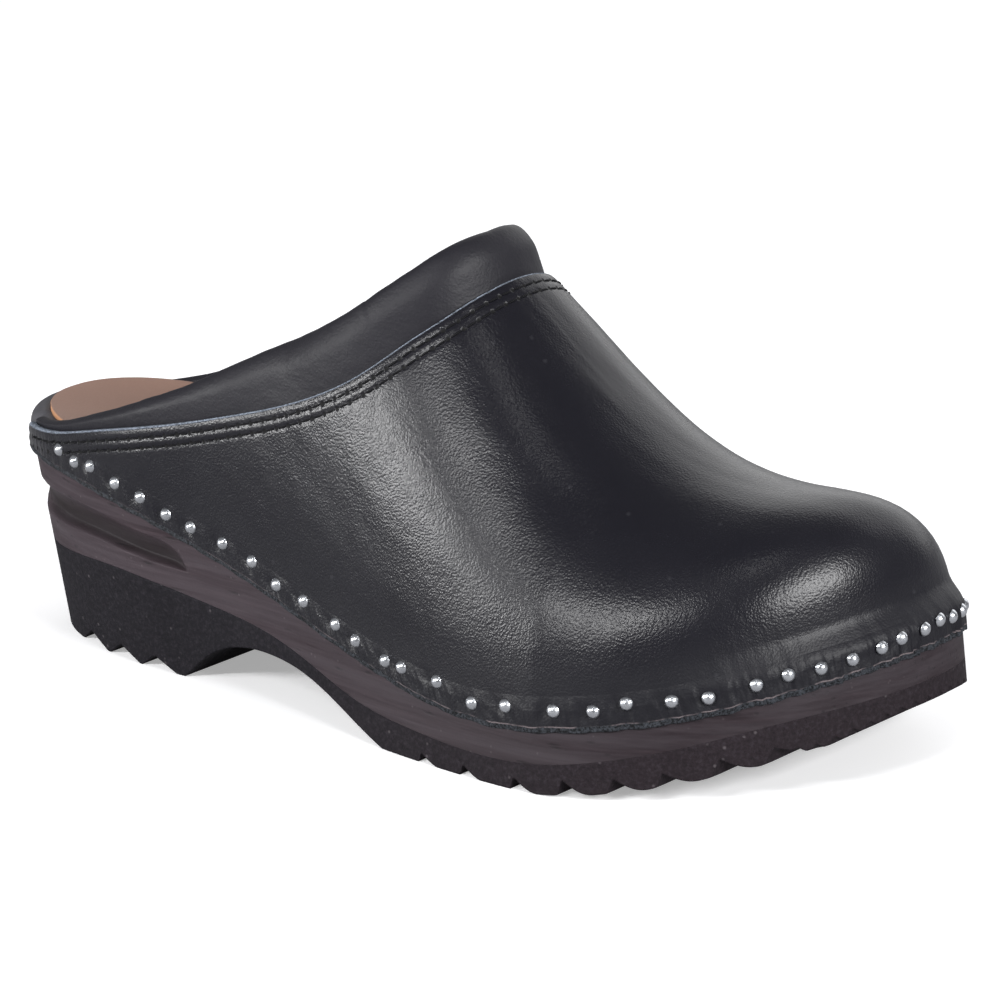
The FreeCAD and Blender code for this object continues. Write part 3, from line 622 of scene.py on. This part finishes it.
def make_wood():
    loop, normals = outline_loop(SOLE_STATIONS)
    n_bottom, n_wall, n_seat, n_round, n_bed = 5, 70, 6, 8, 16

    def shape(u, v):
        x = loop[:, 0]
        top = nail_line(x) + RIM_ABOVE_NAILS
        leather = np.where(x > UPPER_REAR + 0.6, nail_line(x) - NAIL_MARGIN, top - RIM_ROUND - 0.5)
        low = wall_level(loop, normals, rubber_top)
        rows, shade_and_rim_paint = [], []

        def add_row(xy, z, hollow, dark):
            rows.append(np.c_[xy, z])
            shade_and_rim_paint.append(np.stack([np.broadcast_to(b, x.shape) for b in (hollow, dark)], -1))
        bottom_edge = wall_point(loop, normals, low)
        for f in np.linspace(1, 0, n_bottom + 1)[:-1]:
            xy = to_middle(bottom_edge, f)
            add_row(xy, rubber_top(xy[:, 0]), 0, 0)
        for f in np.linspace(0, 1, n_wall):
            z = low + (leather - low) * f
            depth = flute_depth(x, z)
            # the flute's depth is also kept as the weight of its painted shade in the wood
            add_row(wall_point(loop, normals, z, depth), z, depth / FLUTE_DEPTH, 0)
        step = np.where(x > UPPER_REAR, SEAT_STEP - WALL_STEP, 0.0)
        for f in np.linspace(0, 1, n_seat + 1)[1:]:
            z = leather + 0.05 + (top - RIM_ROUND - leather) * f
            add_row(wall_point(loop, normals, z, step), z, 0, f)
        for turn in np.linspace(0, math.pi / 2, n_round + 1)[1:]:
            xy = wall_point(loop, normals, top, step + RIM_ROUND * (1 - math.cos(turn)))
            add_row(xy, bed_height(xy[:, 0], xy[:, 1]) - RIM_ROUND * (1 - math.sin(turn)), 0, 1)
        bed_edge = xy
        for f in np.linspace(0, 1, n_bed + 1)[1:]:
            xy = to_middle(bed_edge, f)
            add_row(xy, bed_height(xy[:, 0], xy[:, 1]), 0, 1 - f * 0.9)
        points = np.stack(rows, 1)
        values = np.stack(shade_and_rim_paint, 1)
        return points, {"hollow": values[..., 0], "dark": values[..., 1]}
    rows = n_bottom + n_wall + n_seat + n_round + n_bed - 1
    return shaped_grid("wood_body", len(loop) - 1, rows, shape, merge=0.01)


def make_rubber():
    loop, normals = outline_loop(700)
    n_top, n_wall, n_bottom = 4, 26, 14

    def shape(u, v):
        high = wall_level(loop, normals, rubber_top)
        run = np.r_[0, np.linalg.norm(np.diff(loop, axis=0), axis=1).cumsum()]
        scallop = SCALLOP_RISE * (1 - np.abs(np.sin(math.pi * run / SCALLOP_PITCH)))
        scallop = scallop * ramp(loop[:, 0], 247, 251)
        low = wall_level(loop, normals, underside) + scallop
        rows = []
        top_edge = wall_point(loop, normals, high)
        for f in np.linspace(1, 0, n_top + 1)[:-1]:
            xy = to_middle(top_edge, f)
            rows.append(np.c_[xy, rubber_top(xy[:, 0])])
        for f in np.linspace(0, 1, n_wall):
            z = high + (low + 0.3 - high) * f
            rows.append(np.c_[wall_point(loop, normals, z), z])
        for turn in (0.5, 1.0):
            z = low + 0.3 - 0.3 * math.sin(turn * math.pi / 2)
            xy = wall_point(loop, normals, z, 0.3 * (1 - math.cos(turn * math.pi / 2)))
            rows.append(np.c_[xy, z])
        bottom_edge = xy
        for f in np.linspace(0, 1, n_bottom + 1)[1:]:
            xy = to_middle(bottom_edge, f)
            rows.append(np.c_[xy, underside(xy[:, 0])])
        return np.stack(rows, 1), {}
    return shaped_grid("rubber_tread", len(loop) - 1, n_top + n_wall + 2 + n_bottom - 1, shape, merge=0.01)


SOCK_THICKNESS, SOCK_MARGIN = 1.5, 6.0


def make_sock():
    outer, inner = outline_sides(260)
    normals = outline_loop(260)[1]
    half = len(outer)
    outer_normals = normals[:half]
    inner_normals = np.vstack([normals[:1], normals[half:-1][::-1], normals[half - 1:half]])
    outer_edge = outer - outer_normals * SOCK_MARGIN
    inner_edge = inner - inner_normals * SOCK_MARGIN
    across = np.linspace(0, 1, 61)

    def shape(u, v):
        edge_round = 0.25
        rows, raw = [], []

        def add_row(f, inward, z_up, is_raw):
            xy = outer_edge + (inner_edge - outer_edge) * f
            side = np.where(f < 0.5, 1.0, -1.0)
            shift = np.minimum(inward, 0.45 * np.linalg.norm(inner_edge - outer_edge, axis=1))
            xy = xy + unit(inner_edge - outer_edge + 1e-9) * (side * shift)[:, None]
            z = bed_height(xy[:, 0], xy[:, 1]) + z_up
            rows.append(np.c_[xy, z])
            raw.append(np.full(half, float(is_raw)))
        edge_heights = [0.02, SOCK_THICKNESS / 2, SOCK_THICKNESS - edge_round]
        for z_up in edge_heights:
            add_row(0, 0, z_up, 1)
        add_row(0, edge_round, SOCK_THICKNESS, 0)
        for f in across[1:-1]:
            add_row(f, 0, SOCK_THICKNESS, 0)
        add_row(1, edge_round, SOCK_THICKNESS, 0)
        for z_up in edge_heights[::-1]:
            add_row(1, 0, z_up, 1)
        for f in across[::-4][1:-1]:
            add_row(f, 0, 0.02, 0)
        add_row(0, 0, 0.02, 1)
        return np.stack(rows, 1), {"raw": np.stack(raw, 1)}
    rows = 4 + 59 + 4 + len(across[::-4][1:-1])
    return shaped_grid("insole_lining", half - 1, rows, shape, merge=0.004)


# ---------------------------------------------------------------- shader helpers
def new_material(name):
    material = bpy.data.materials.new(name)
    material.use_nodes = True
    tree = material.node_tree
    return material, tree, tree.nodes["Principled BSDF"]


def plug(tree, value, socket):
    """Connects a socket, or sets a plain number or colour."""
    if isinstance(value, bpy.types.NodeSocket):
        tree.links.new(value, socket)
    elif isinstance(value, tuple) and len(value) == 3 and len(socket.default_value) == 4:
        socket.default_value = (*value, 1)
    else:
        socket.default_value = value


def wire(tree, node, **values):
    """Connects or sets a node's inputs by name, with _ for a space."""
    for key, value in values.items():
        plug(tree, value, node.inputs[key.replace("_", " ")])
    return node


def noise(tree, vector, scale, detail=4.0, roughness=0.55, output="Fac"):
    node = tree.nodes.new("ShaderNodeTexNoise")
    return wire(tree, node, Vector=vector, Scale=scale, Detail=detail, Roughness=roughness).outputs[output]


def stretched(tree, vector, scale):
    node = tree.nodes.new("ShaderNodeMapping")
    return wire(tree, node, Vector=vector, Scale=scale).outputs["Vector"]


def warped(tree, vector, scale, amount):
    """A place pushed about by soft noise."""
    node = tree.nodes.new("ShaderNodeVectorMath")
    node.operation = "MULTIPLY_ADD"
    plug(tree, noise(tree, vector, scale, 2.0, 0.5, "Color"), node.inputs[0])
    plug(tree, (amount, amount, amount), node.inputs[1])
    plug(tree, vector, node.inputs[2])
    return node.outputs[0]


def remap(tree, value, low, high, new_low=0.0, new_high=1.0):
    node = tree.nodes.new("ShaderNodeMapRange")
    for socket, number in zip(("From Min", "From Max", "To Min", "To Max"), (low, high, new_low, new_high)):
        plug(tree, number, node.inputs[socket])
    return wire(tree, node, Value=value).outputs["Result"]


def calc(tree, operation, a, b=0.0):
    node = tree.nodes.new("ShaderNodeMath")
    node.operation = operation
    plug(tree, a, node.inputs[0])
    plug(tree, b, node.inputs[1])
    return node.outputs[0]


def times(tree, a, b):
    return calc(tree, "MULTIPLY", a, b)


def mix(tree, factor, a, b):
    node = tree.nodes.new("ShaderNodeMix")
    node.data_type = "RGBA"
    plug(tree, factor, node.inputs["Factor"])
    plug(tree, a, node.inputs[6])
    plug(tree, b, node.inputs[7])
    return node.outputs[2]


def bump(tree, height, strength, depth_mm, below=None):
    node = tree.nodes.new("ShaderNodeBump")
    wire(tree, node, Strength=strength, Distance=depth_mm * MM, Height=height)
    if below is not None:
        wire(tree, node, Normal=below)
    return node.outputs["Normal"]


def attribute(tree, name):
    node = tree.nodes.new("ShaderNodeAttribute")
    node.attribute_name = name
    return node.outputs["Fac"]


def object_place(tree):
    return tree.nodes.new("ShaderNodeTexCoord").outputs["Object"]


def group_inputs_outputs(name, inputs, outputs):
    group = bpy.data.node_groups.new(name, "ShaderNodeTree")
    kinds = {"vector": "NodeSocketVector", "number": "NodeSocketFloat", "colour": "NodeSocketColor"}
    for socket, kind, default in inputs:
        made = group.interface.new_socket(socket, in_out="INPUT", socket_type=kinds[kind])
        if default is not None:
            made.default_value = default
    for socket, kind in outputs:
        group.interface.new_socket(socket, in_out="OUTPUT", socket_type=kinds[kind])
    return group, group.nodes.new("NodeGroupInput").outputs, group.nodes.new("NodeGroupOutput").inputs


def use_group(tree, group, **values):
    node = tree.nodes.new("ShaderNodeGroup")
    node.node_tree = group
    return wire(tree, node, **values).outputs


def leather_grain_group():
    """Fine pebbled grain and soft unevenness as a height, and a slow blotch value for colour and gloss."""
    tree, given, out = group_inputs_outputs(
        "leather grain",
        [("Place", "vector", None), ("Grain Size", "number", 1.0), ("Softness", "number", 0.5)],
        [("Height", "number"), ("Blotch", "number")])
    cells = tree.nodes.new("ShaderNodeTexVoronoi")
    cells.feature = "SMOOTH_F1"
    wire(tree, cells, Vector=warped(tree, given["Place"], 420.0, 0.0009),
         Scale=calc(tree, "DIVIDE", 1150.0, given["Grain Size"]), Smoothness=0.6)
    pebbles = remap(tree, cells.outputs["Distance"], 0.1, 0.75, 1.0, 0.0)
    fine = noise(tree, given["Place"], 2300.0, 2.0)
    uneven = noise(tree, given["Place"], 700.0, 3.0)
    soft = times(tree, uneven, given["Softness"])
    total = calc(tree, "ADD", times(tree, pebbles, 0.6), times(tree, fine, 0.35))
    total = calc(tree, "ADD", total, soft)
    tree.links.new(total, out["Height"])
    tree.links.new(noise(tree, given["Place"], 38.0, 5.0, 0.6), out["Blotch"])
    return tree


def specks_group():
    """Small scattered dots of a chosen size and share, as a mask."""
    tree, given, out = group_inputs_outputs(
        "specks", [("Place", "vector", None), ("Density", "number", 900.0), ("Share", "number", 0.1)],
        [("Mask", "number")])
    cells = tree.nodes.new("ShaderNodeTexVoronoi")
    wire(tree, cells, Vector=given["Place"], Scale=given["Density"])
    near = remap(tree, cells.outputs["Distance"], 0.05, 0.32, 1.0, 0.0)
    separate = tree.nodes.new("ShaderNodeSeparateColor")
    tree.links.new(cells.outputs["Color"], separate.inputs[0])
    chosen = calc(tree, "LESS_THAN", separate.outputs[0], given["Share"])
    tree.links.new(times(tree, near, chosen), out["Mask"])
    return tree


LEATHER_GRAIN = leather_grain_group()
SPECKS = specks_group()


def specks(tree, place, density, share):
    return use_group(tree, SPECKS, Place=place, Density=density, Share=share)["Mask"]


def length_along_sole(tree, place):
    node = tree.nodes.new("ShaderNodeSeparateXYZ")
    return wire(tree, node, Vector=place).outputs[0]


def needle_holes(tree, edge, seam):
    """Mask of the small holes where the thread goes in, in both sewn rows."""
    step = calc(tree, "FRACT", calc(tree, "DIVIDE", seam, STITCH_STEP))
    beside = times(tree, calc(tree, "SUBTRACT", step, 0.5), STITCH_STEP)
    holes = 0.0
    for row in STITCH_ROWS:
        across = calc(tree, "SUBTRACT", edge, row)
        away = calc(tree, "SQRT", calc(tree, "ADD", times(tree, beside, beside), times(tree, across, across)))
        holes = calc(tree, "ADD", remap(tree, away, 0.30, 0.72, 1.0, 0.0), holes)
    return holes


def black_upper_leather():
    material, tree, shader = new_material("oiled black leather")
    place = object_place(tree)
    grain = use_group(tree, LEATHER_GRAIN, Place=place, Grain_Size=0.62, Softness=0.55)
    blotch = grain["Blotch"]
    low, edge, raw, inner, along, seam = (attribute(tree, k) for k in (
        "low", "edge", "raw", "inner", "along", "seam"))
    from_toe = calc(tree, "ABSOLUTE", calc(tree, "SUBTRACT", along, BASE_LENGTH / 2))
    at_toe = remap(tree, from_toe, 60.0, 230.0, 1.0, 0.0)
    colour = mix(tree, blotch, (0.0050, 0.0048, 0.0075), (0.0085, 0.0082, 0.0120))
    dust = specks(tree, place, 420.0, 0.04)
    colour = mix(tree, times(tree, dust, 0.06), colour, (0.2, 0.2, 0.22))
    fuzz = noise(tree, place, 1500.0, 4.0, 0.7)
    patchy = noise(tree, place, 190.0, 3.0, 0.6)
    wavy_low = calc(tree, "ADD", low, times(tree, patchy, 0.9))
    fringe = remap(tree, wavy_low, 1.75, 1.95, 1.0, 0.0)
    fringe_colour = mix(tree, remap(tree, fuzz, 0.4, 0.62), (0.003, 0.0034, 0.0045), (0.036, 0.040, 0.048))
    colour = mix(tree, fringe, colour, fringe_colour)
    # painted highlight: a thin light pinkish line along the turned lower lip of the leather, patchy and
    # stronger at the toe
    lip_highlight = times(tree, remap(tree, wavy_low, 1.8, 2.0), remap(tree, wavy_low, 2.05, 2.25, 1.0, 0.0))
    lip_highlight = times(tree, lip_highlight, remap(tree, patchy, 0.44, 0.58, 0.0, 1.0))
    lip_highlight = times(tree, lip_highlight, remap(tree, at_toe, 0.0, 0.7, 0.2, 1.0))
    colour = mix(tree, lip_highlight, colour, (0.135, 0.110, 0.115))
    top_cut = remap(tree, calc(tree, "ADD", edge, times(tree, fuzz, 0.8)), 0.75, 0.95, 1.0, 0.0)
    top_colour = mix(tree, remap(tree, fuzz, 0.35, 0.6), (0.040, 0.046, 0.058), (0.27, 0.31, 0.38))
    colour = mix(tree, top_cut, colour, top_colour)
    cut = calc(tree, "MAXIMUM", calc(tree, "MAXIMUM", fringe, top_cut), raw)
    holes = needle_holes(tree, edge, seam)
    # painted shade: the needle holes are darkened to near black
    colour = mix(tree, holes, colour, (0.0012, 0.0012, 0.0014))
    suede = mix(tree, noise(tree, place, 700.0, 5.0, 0.7), (0.016, 0.015, 0.017), (0.045, 0.042, 0.045))
    colour = mix(tree, inner, colour, suede)
    wire(tree, shader, Base_Color=colour, Specular_IOR_Level=0.30)
    rough = remap(tree, blotch, 0.3, 0.7, 0.245, 0.305)
    dull = calc(tree, "MAXIMUM", calc(tree, "MAXIMUM", cut, inner), holes)
    rough = calc(tree, "ADD", rough, times(tree, dull, 0.5))
    worked = times(tree, remap(tree, low, 9.0, 19.0, 0.22, 0.0), at_toe)
    wire(tree, shader, Roughness=calc(tree, "ADD", rough, worked))
    lines = tree.nodes.new("ShaderNodeCombineXYZ")
    tree.links.new(times(tree, along, 0.50), lines.inputs[0])
    tree.links.new(times(tree, low, 0.17), lines.inputs[1])
    folds = noise(tree, lines.outputs[0], 1.0, 1.0, 0.4)
    folds = times(tree, folds, remap(tree, low, 5.5, 9.0, 1.0, 0.0))
    folds = times(tree, folds, remap(tree, at_toe, 0.0, 1.0, 0.35, 1.0))
    normal = bump(tree, folds, 0.8, 1.2)
    normal = bump(tree, grain["Height"], 0.8, 0.072, normal)
    normal = bump(tree, calc(tree, "SUBTRACT", 1.0, holes), 0.6, 0.25, normal)
    normal = bump(tree, times(tree, fuzz, cut), 0.9, 0.35, normal)
    wire(tree, shader, Normal=normal)
    return material


def collar_leather():
    material, tree, shader = new_material("soft black collar leather")
    place = object_place(tree)
    grain = use_group(tree, LEATHER_GRAIN, Place=place, Grain_Size=0.8, Softness=1.0)
    colour = mix(tree, grain["Blotch"], (0.0100, 0.0095, 0.0130), (0.0160, 0.0150, 0.0200))
    wire(tree, shader, Base_Color=colour, Specular_IOR_Level=0.27)
    wire(tree, shader, Roughness=remap(tree, grain["Blotch"], 0.3, 0.7, 0.46, 0.56))
    creases = noise(tree, stretched(tree, place, (1.0, 1.0, 2.2)), 120.0, 5.0, 0.6)
    normal = bump(tree, creases, 0.35, 0.5)
    normal = bump(tree, grain["Height"], 0.55, 0.08, normal)
    wire(tree, shader, Normal=normal)
    return material


def stained_wood():
    material, tree, shader = new_material("stained wood")
    place = object_place(tree)
    long = stretched(tree, place, (0.05, 0.16, 1.0))
    rings = noise(tree, warped(tree, long, 60.0, 0.004), 190.0, 6.0, 0.65)
    fibres = noise(tree, stretched(tree, place, (0.035, 0.12, 1.0)), 900.0, 4.0, 0.6)
    pores = specks(tree, stretched(tree, place, (0.16, 1.0, 1.0)), 620.0, 0.22)
    dust = specks(tree, place, 800.0, 0.05)
    colour = mix(tree, remap(tree, rings, 0.35, 0.65), (0.0220, 0.0138, 0.0175), (0.0400, 0.0265, 0.0325))
    colour = mix(tree, remap(tree, fibres, 0.42, 0.66, 0.0, 0.7), colour, (0.055, 0.039, 0.046))
    colour = mix(tree, times(tree, pores, 0.75), colour, (0.006, 0.004, 0.005))
    colour = mix(tree, times(tree, dust, 0.30), colour, (0.20, 0.17, 0.18))
    # painted shade: the wood is darkened towards the bottom of the flute round the heel, by the flute's depth
    hollow = remap(tree, attribute(tree, "hollow"), 0.1, 0.9, 0.0, 0.75)
    colour = mix(tree, hollow, colour, (0.0105, 0.0075, 0.0070))
    front = remap(tree, length_along_sole(tree, place), -0.06, 0.09, 0.0, 0.55)
    colour = mix(tree, front, colour, (0.0105, 0.0070, 0.0088))
    rim = attribute(tree, "dark")
    rim_uneven = calc(tree, "ADD", rim, times(tree, rings, 0.3))
    colour = mix(tree, remap(tree, rim_uneven, 0.1, 0.5), colour, (0.070, 0.069, 0.077))
    wire(tree, shader, Base_Color=colour, Specular_IOR_Level=0.18)
    wire(tree, shader, Roughness=remap(tree, rings, 0.3, 0.7, 0.50, 0.64))
    fibrous = calc(tree, "ADD", times(tree, fibres, 0.6), times(tree, rings, 0.5))
    height = calc(tree, "SUBTRACT", fibrous, pores)
    wire(tree, shader, Normal=bump(tree, height, 0.55, 0.16))
    return material


def charcoal_rubber():
    material, tree, shader = new_material("cellular rubber")
    place = object_place(tree)
    cells = specks(tree, place, 1300.0, 0.5)
    pits = specks(tree, place, 420.0, 0.16)
    dust = specks(tree, place, 600.0, 0.035)
    cloud = noise(tree, place, 45.0, 5.0, 0.6)
    sanded = noise(tree, stretched(tree, place, (0.5, 1.0, 1.0)), 900.0, 3.0, 0.6)
    brownish = remap(tree, length_along_sole(tree, place), -0.02, 0.09)
    colour = mix(tree, cloud, (0.0068, 0.0060, 0.0086), (0.0106, 0.0095, 0.0128))
    warm = mix(tree, cloud, (0.0108, 0.0072, 0.0092), (0.0190, 0.0133, 0.0169))
    colour = mix(tree, brownish, colour, warm)
    grit = noise(tree, place, 1000.0, 3.0, 0.75)
    colour = mix(tree, remap(tree, grit, 0.50, 0.72, 0.0, 0.4), colour, (0.040, 0.034, 0.042))
    colour = mix(tree, remap(tree, grit, 0.48, 0.32, 0.0, 0.45), colour, (0.003, 0.003, 0.004))
    colour = mix(tree, times(tree, cells, 0.5), colour, (0.007, 0.006, 0.008))
    colour = mix(tree, times(tree, dust, 0.35), colour, (0.18, 0.16, 0.17))
    wire(tree, shader, Base_Color=colour, Specular_IOR_Level=0.16)
    wire(tree, shader, Roughness=remap(tree, sanded, 0.3, 0.7, 0.66, 0.82))
    hollows = calc(tree, "ADD", times(tree, cells, 0.5), pits)
    height = calc(tree, "SUBTRACT", times(tree, sanded, 0.7), hollows)
    wire(tree, shader, Normal=bump(tree, height, 0.6, 0.18))
    return material


def tan_lining():
    material, tree, shader = new_material("tan lining leather")
    place = object_place(tree)
    grain = use_group(tree, LEATHER_GRAIN, Place=place, Grain_Size=0.7, Softness=0.6)
    raw = attribute(tree, "raw")
    colour = mix(tree, grain["Blotch"], (0.215, 0.119, 0.086), (0.300, 0.182, 0.137))
    fibre = noise(tree, place, 1600.0, 4.0, 0.7)
    colour = mix(tree, times(tree, fibre, 0.35), colour, (0.30, 0.20, 0.165))
    cut = mix(tree, fibre, (0.36, 0.16, 0.075), (0.55, 0.29, 0.15))
    colour = mix(tree, raw, colour, cut)
    wire(tree, shader, Base_Color=colour, Roughness=remap(tree, fibre, 0.3, 0.7, 0.62, 0.78))
    wire(tree, shader, Normal=bump(tree, grain["Height"], 0.5, 0.08))
    return material


def bright_steel():
    material, tree, shader = new_material("bright steel")
    place = object_place(tree)
    tarnish = noise(tree, place, 260.0, 4.0, 0.6)
    wire(tree, shader, Base_Color=mix(tree, tarnish, (0.50, 0.52, 0.56), (0.80, 0.82, 0.85)), Metallic=1.0)
    wire(tree, shader, Roughness=remap(tree, tarnish, 0.3, 0.7, 0.20, 0.36))
    wire(tree, shader, Normal=bump(tree, noise(tree, place, 1400.0, 3.0), 0.35, 0.05))
    return material


def sewing_thread():
    material, tree, shader = new_material("black thread")
    wave = tree.nodes.new("ShaderNodeTexWave")
    wave.bands_direction = "DIAGONAL"
    wire(tree, wave, Vector=object_place(tree), Scale=900.0, Distortion=1.5, Detail=2.0)
    twist = wave.outputs["Fac"]
    wire(tree, shader, Base_Color=mix(tree, twist, (0.0025, 0.0025, 0.0030), (0.0080, 0.0080, 0.0095)),
         Specular_IOR_Level=0.15, Roughness=remap(tree, twist, 0.0, 1.0, 0.75, 0.6),
         Normal=bump(tree, twist, 0.6, 0.10))
    return material


def padding_foam():
    material, tree, shader = new_material("padding foam")
    place = object_place(tree)
    cells = specks(tree, place, 900.0, 0.7)
    wire(tree, shader, Base_Color=mix(tree, cells, (0.52, 0.50, 0.42), (0.30, 0.28, 0.23)), Roughness=0.95)
    wire(tree, shader, Normal=bump(tree, cells, 0.6, 0.2))
    return material


# ---------------------------------------------------------------- build
def finish_piece(piece, replaced, material):
    piece.data.materials.append(material)
    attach(piece, "root")
    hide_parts(*replaced)
    return piece


THREAD = sewing_thread()
finish_piece(make_wood(), ["wooden_sole"], stained_wood())
finish_piece(make_rubber(), ["outsole"], charcoal_rubber())
finish_piece(make_sock(), ["sock_lining"], tan_lining())
finish_piece(make_upper(), ["vamp"], black_upper_leather())
collar = finish_piece(make_collar(), ["collar_cover"], collar_leather())
finish_piece(make_stitches("stitches_near_edge", STITCH_ROWS[0], 2), ["stitch_row_upper"], THREAD)
finish_piece(make_stitches("stitches_inner_row", STITCH_ROWS[1], 6), ["stitch_row_lower"], THREAD)


def dress(node, material):
    """Gives a carried-over CAD node its material through its slots."""
    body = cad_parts[node]
    if not body.material_slots:
        body.data.materials.append(material)
    for slot in body.material_slots:
        slot.material = material


dress("nails", bright_steel())
dress("collar_foam", padding_foam())


# ---------------------------------------------------------------- camera, floor and light
def place_camera():
    data = bpy.data.cameras.new("camera")
    data.sensor_width = 36.0
    data.lens = 189.466
    data.clip_start, data.clip_end = 0.05, 50
    right, up, back = (0.7787, 0.6269, -0.0241), (-0.1583, 0.2336, 0.9594), (0.6071, -0.7432, 0.2812)
    camera = bpy.data.objects.new("camera", data)
    camera.matrix_world = axes_at(right, up, back, (0.788775, -0.946832, 0.408484))
    bpy.context.scene.collection.objects.link(camera)
    bpy.context.scene.camera = camera


def soft_light(name, azimuth, elevation, distance, width, height, radiance, turned=0.0):
    """A flat softbox facing the shoe, seen from it in the given direction and turned in its own plane."""
    data = bpy.data.lights.new(name, "AREA")
    data.shape = "RECTANGLE"
    data.size, data.size_y = width, height
    data.energy = radiance * math.pi * width * height
    light = bpy.data.objects.new(name, data)
    a, e = math.radians(azimuth), math.radians(elevation)
    way = Vector((math.cos(e) * math.cos(a), math.cos(e) * math.sin(a), math.sin(e)))
    facing = way.to_track_quat("Z", "Y").to_matrix().to_4x4()
    place = Matrix.Translation(Vector((0, 0, 0.05)) + way * distance)
    light.matrix_world = place @ facing @ Matrix.Rotation(math.radians(turned), 4, "Z")
    bpy.context.scene.collection.objects.link(light)


def make_stage():
    bm = bmesh.new()
    bmesh.ops.create_grid(bm, x_segments=1, y_segments=1, size=8.0)
    mesh = bpy.data.meshes.new("floor")
    bm.to_mesh(mesh)
    bm.free()
    floor = new_object("floor", mesh)
    material, tree, shader = new_material("white sweep")
    path = tree.nodes.new("ShaderNodeLightPath").outputs
    white = mix(tree, noise(tree, object_place(tree), 3.0), (0.86, 0.86, 0.87), (0.90, 0.90, 0.91))
    glow = mix(tree, path["Is Camera Ray"], (0.05, 0.05, 0.05), (0.36, 0.36, 0.36))
    wire(tree, shader, Base_Color=mix(tree, path["Is Glossy Ray"], white, (0.30, 0.30, 0.31)),
         Roughness=0.9, Emission_Color=glow, Emission_Strength=1.0)
    mesh.materials.append(material)
    world = bpy.data.worlds.new("studio")
    world.use_nodes = True
    world.node_tree.nodes["Background"].inputs[0].default_value = (0.96, 0.97, 1.0, 1)
    world.node_tree.nodes["Background"].inputs[1].default_value = 0.23
    bpy.context.scene.world = world


place_camera()
make_stage()
soft_light("side softbox", -133, 11, 1.6, 0.62, 0.22, 33.0, 33)
soft_light("raised strip", -91, 32, 1.7, 1.10, 0.12, 42.0, 29)
soft_light("front softbox", -7, 25, 1.7, 0.90, 0.36, 27.0)
soft_light("overhead softbox", -36, 63, 1.7, 0.24, 0.24, 6.5)
soft_light("back wall", 100, 25, 2.2, 2.6, 1.8, 1.2)
bpy.context.scene.view_settings.view_transform = "Standard"
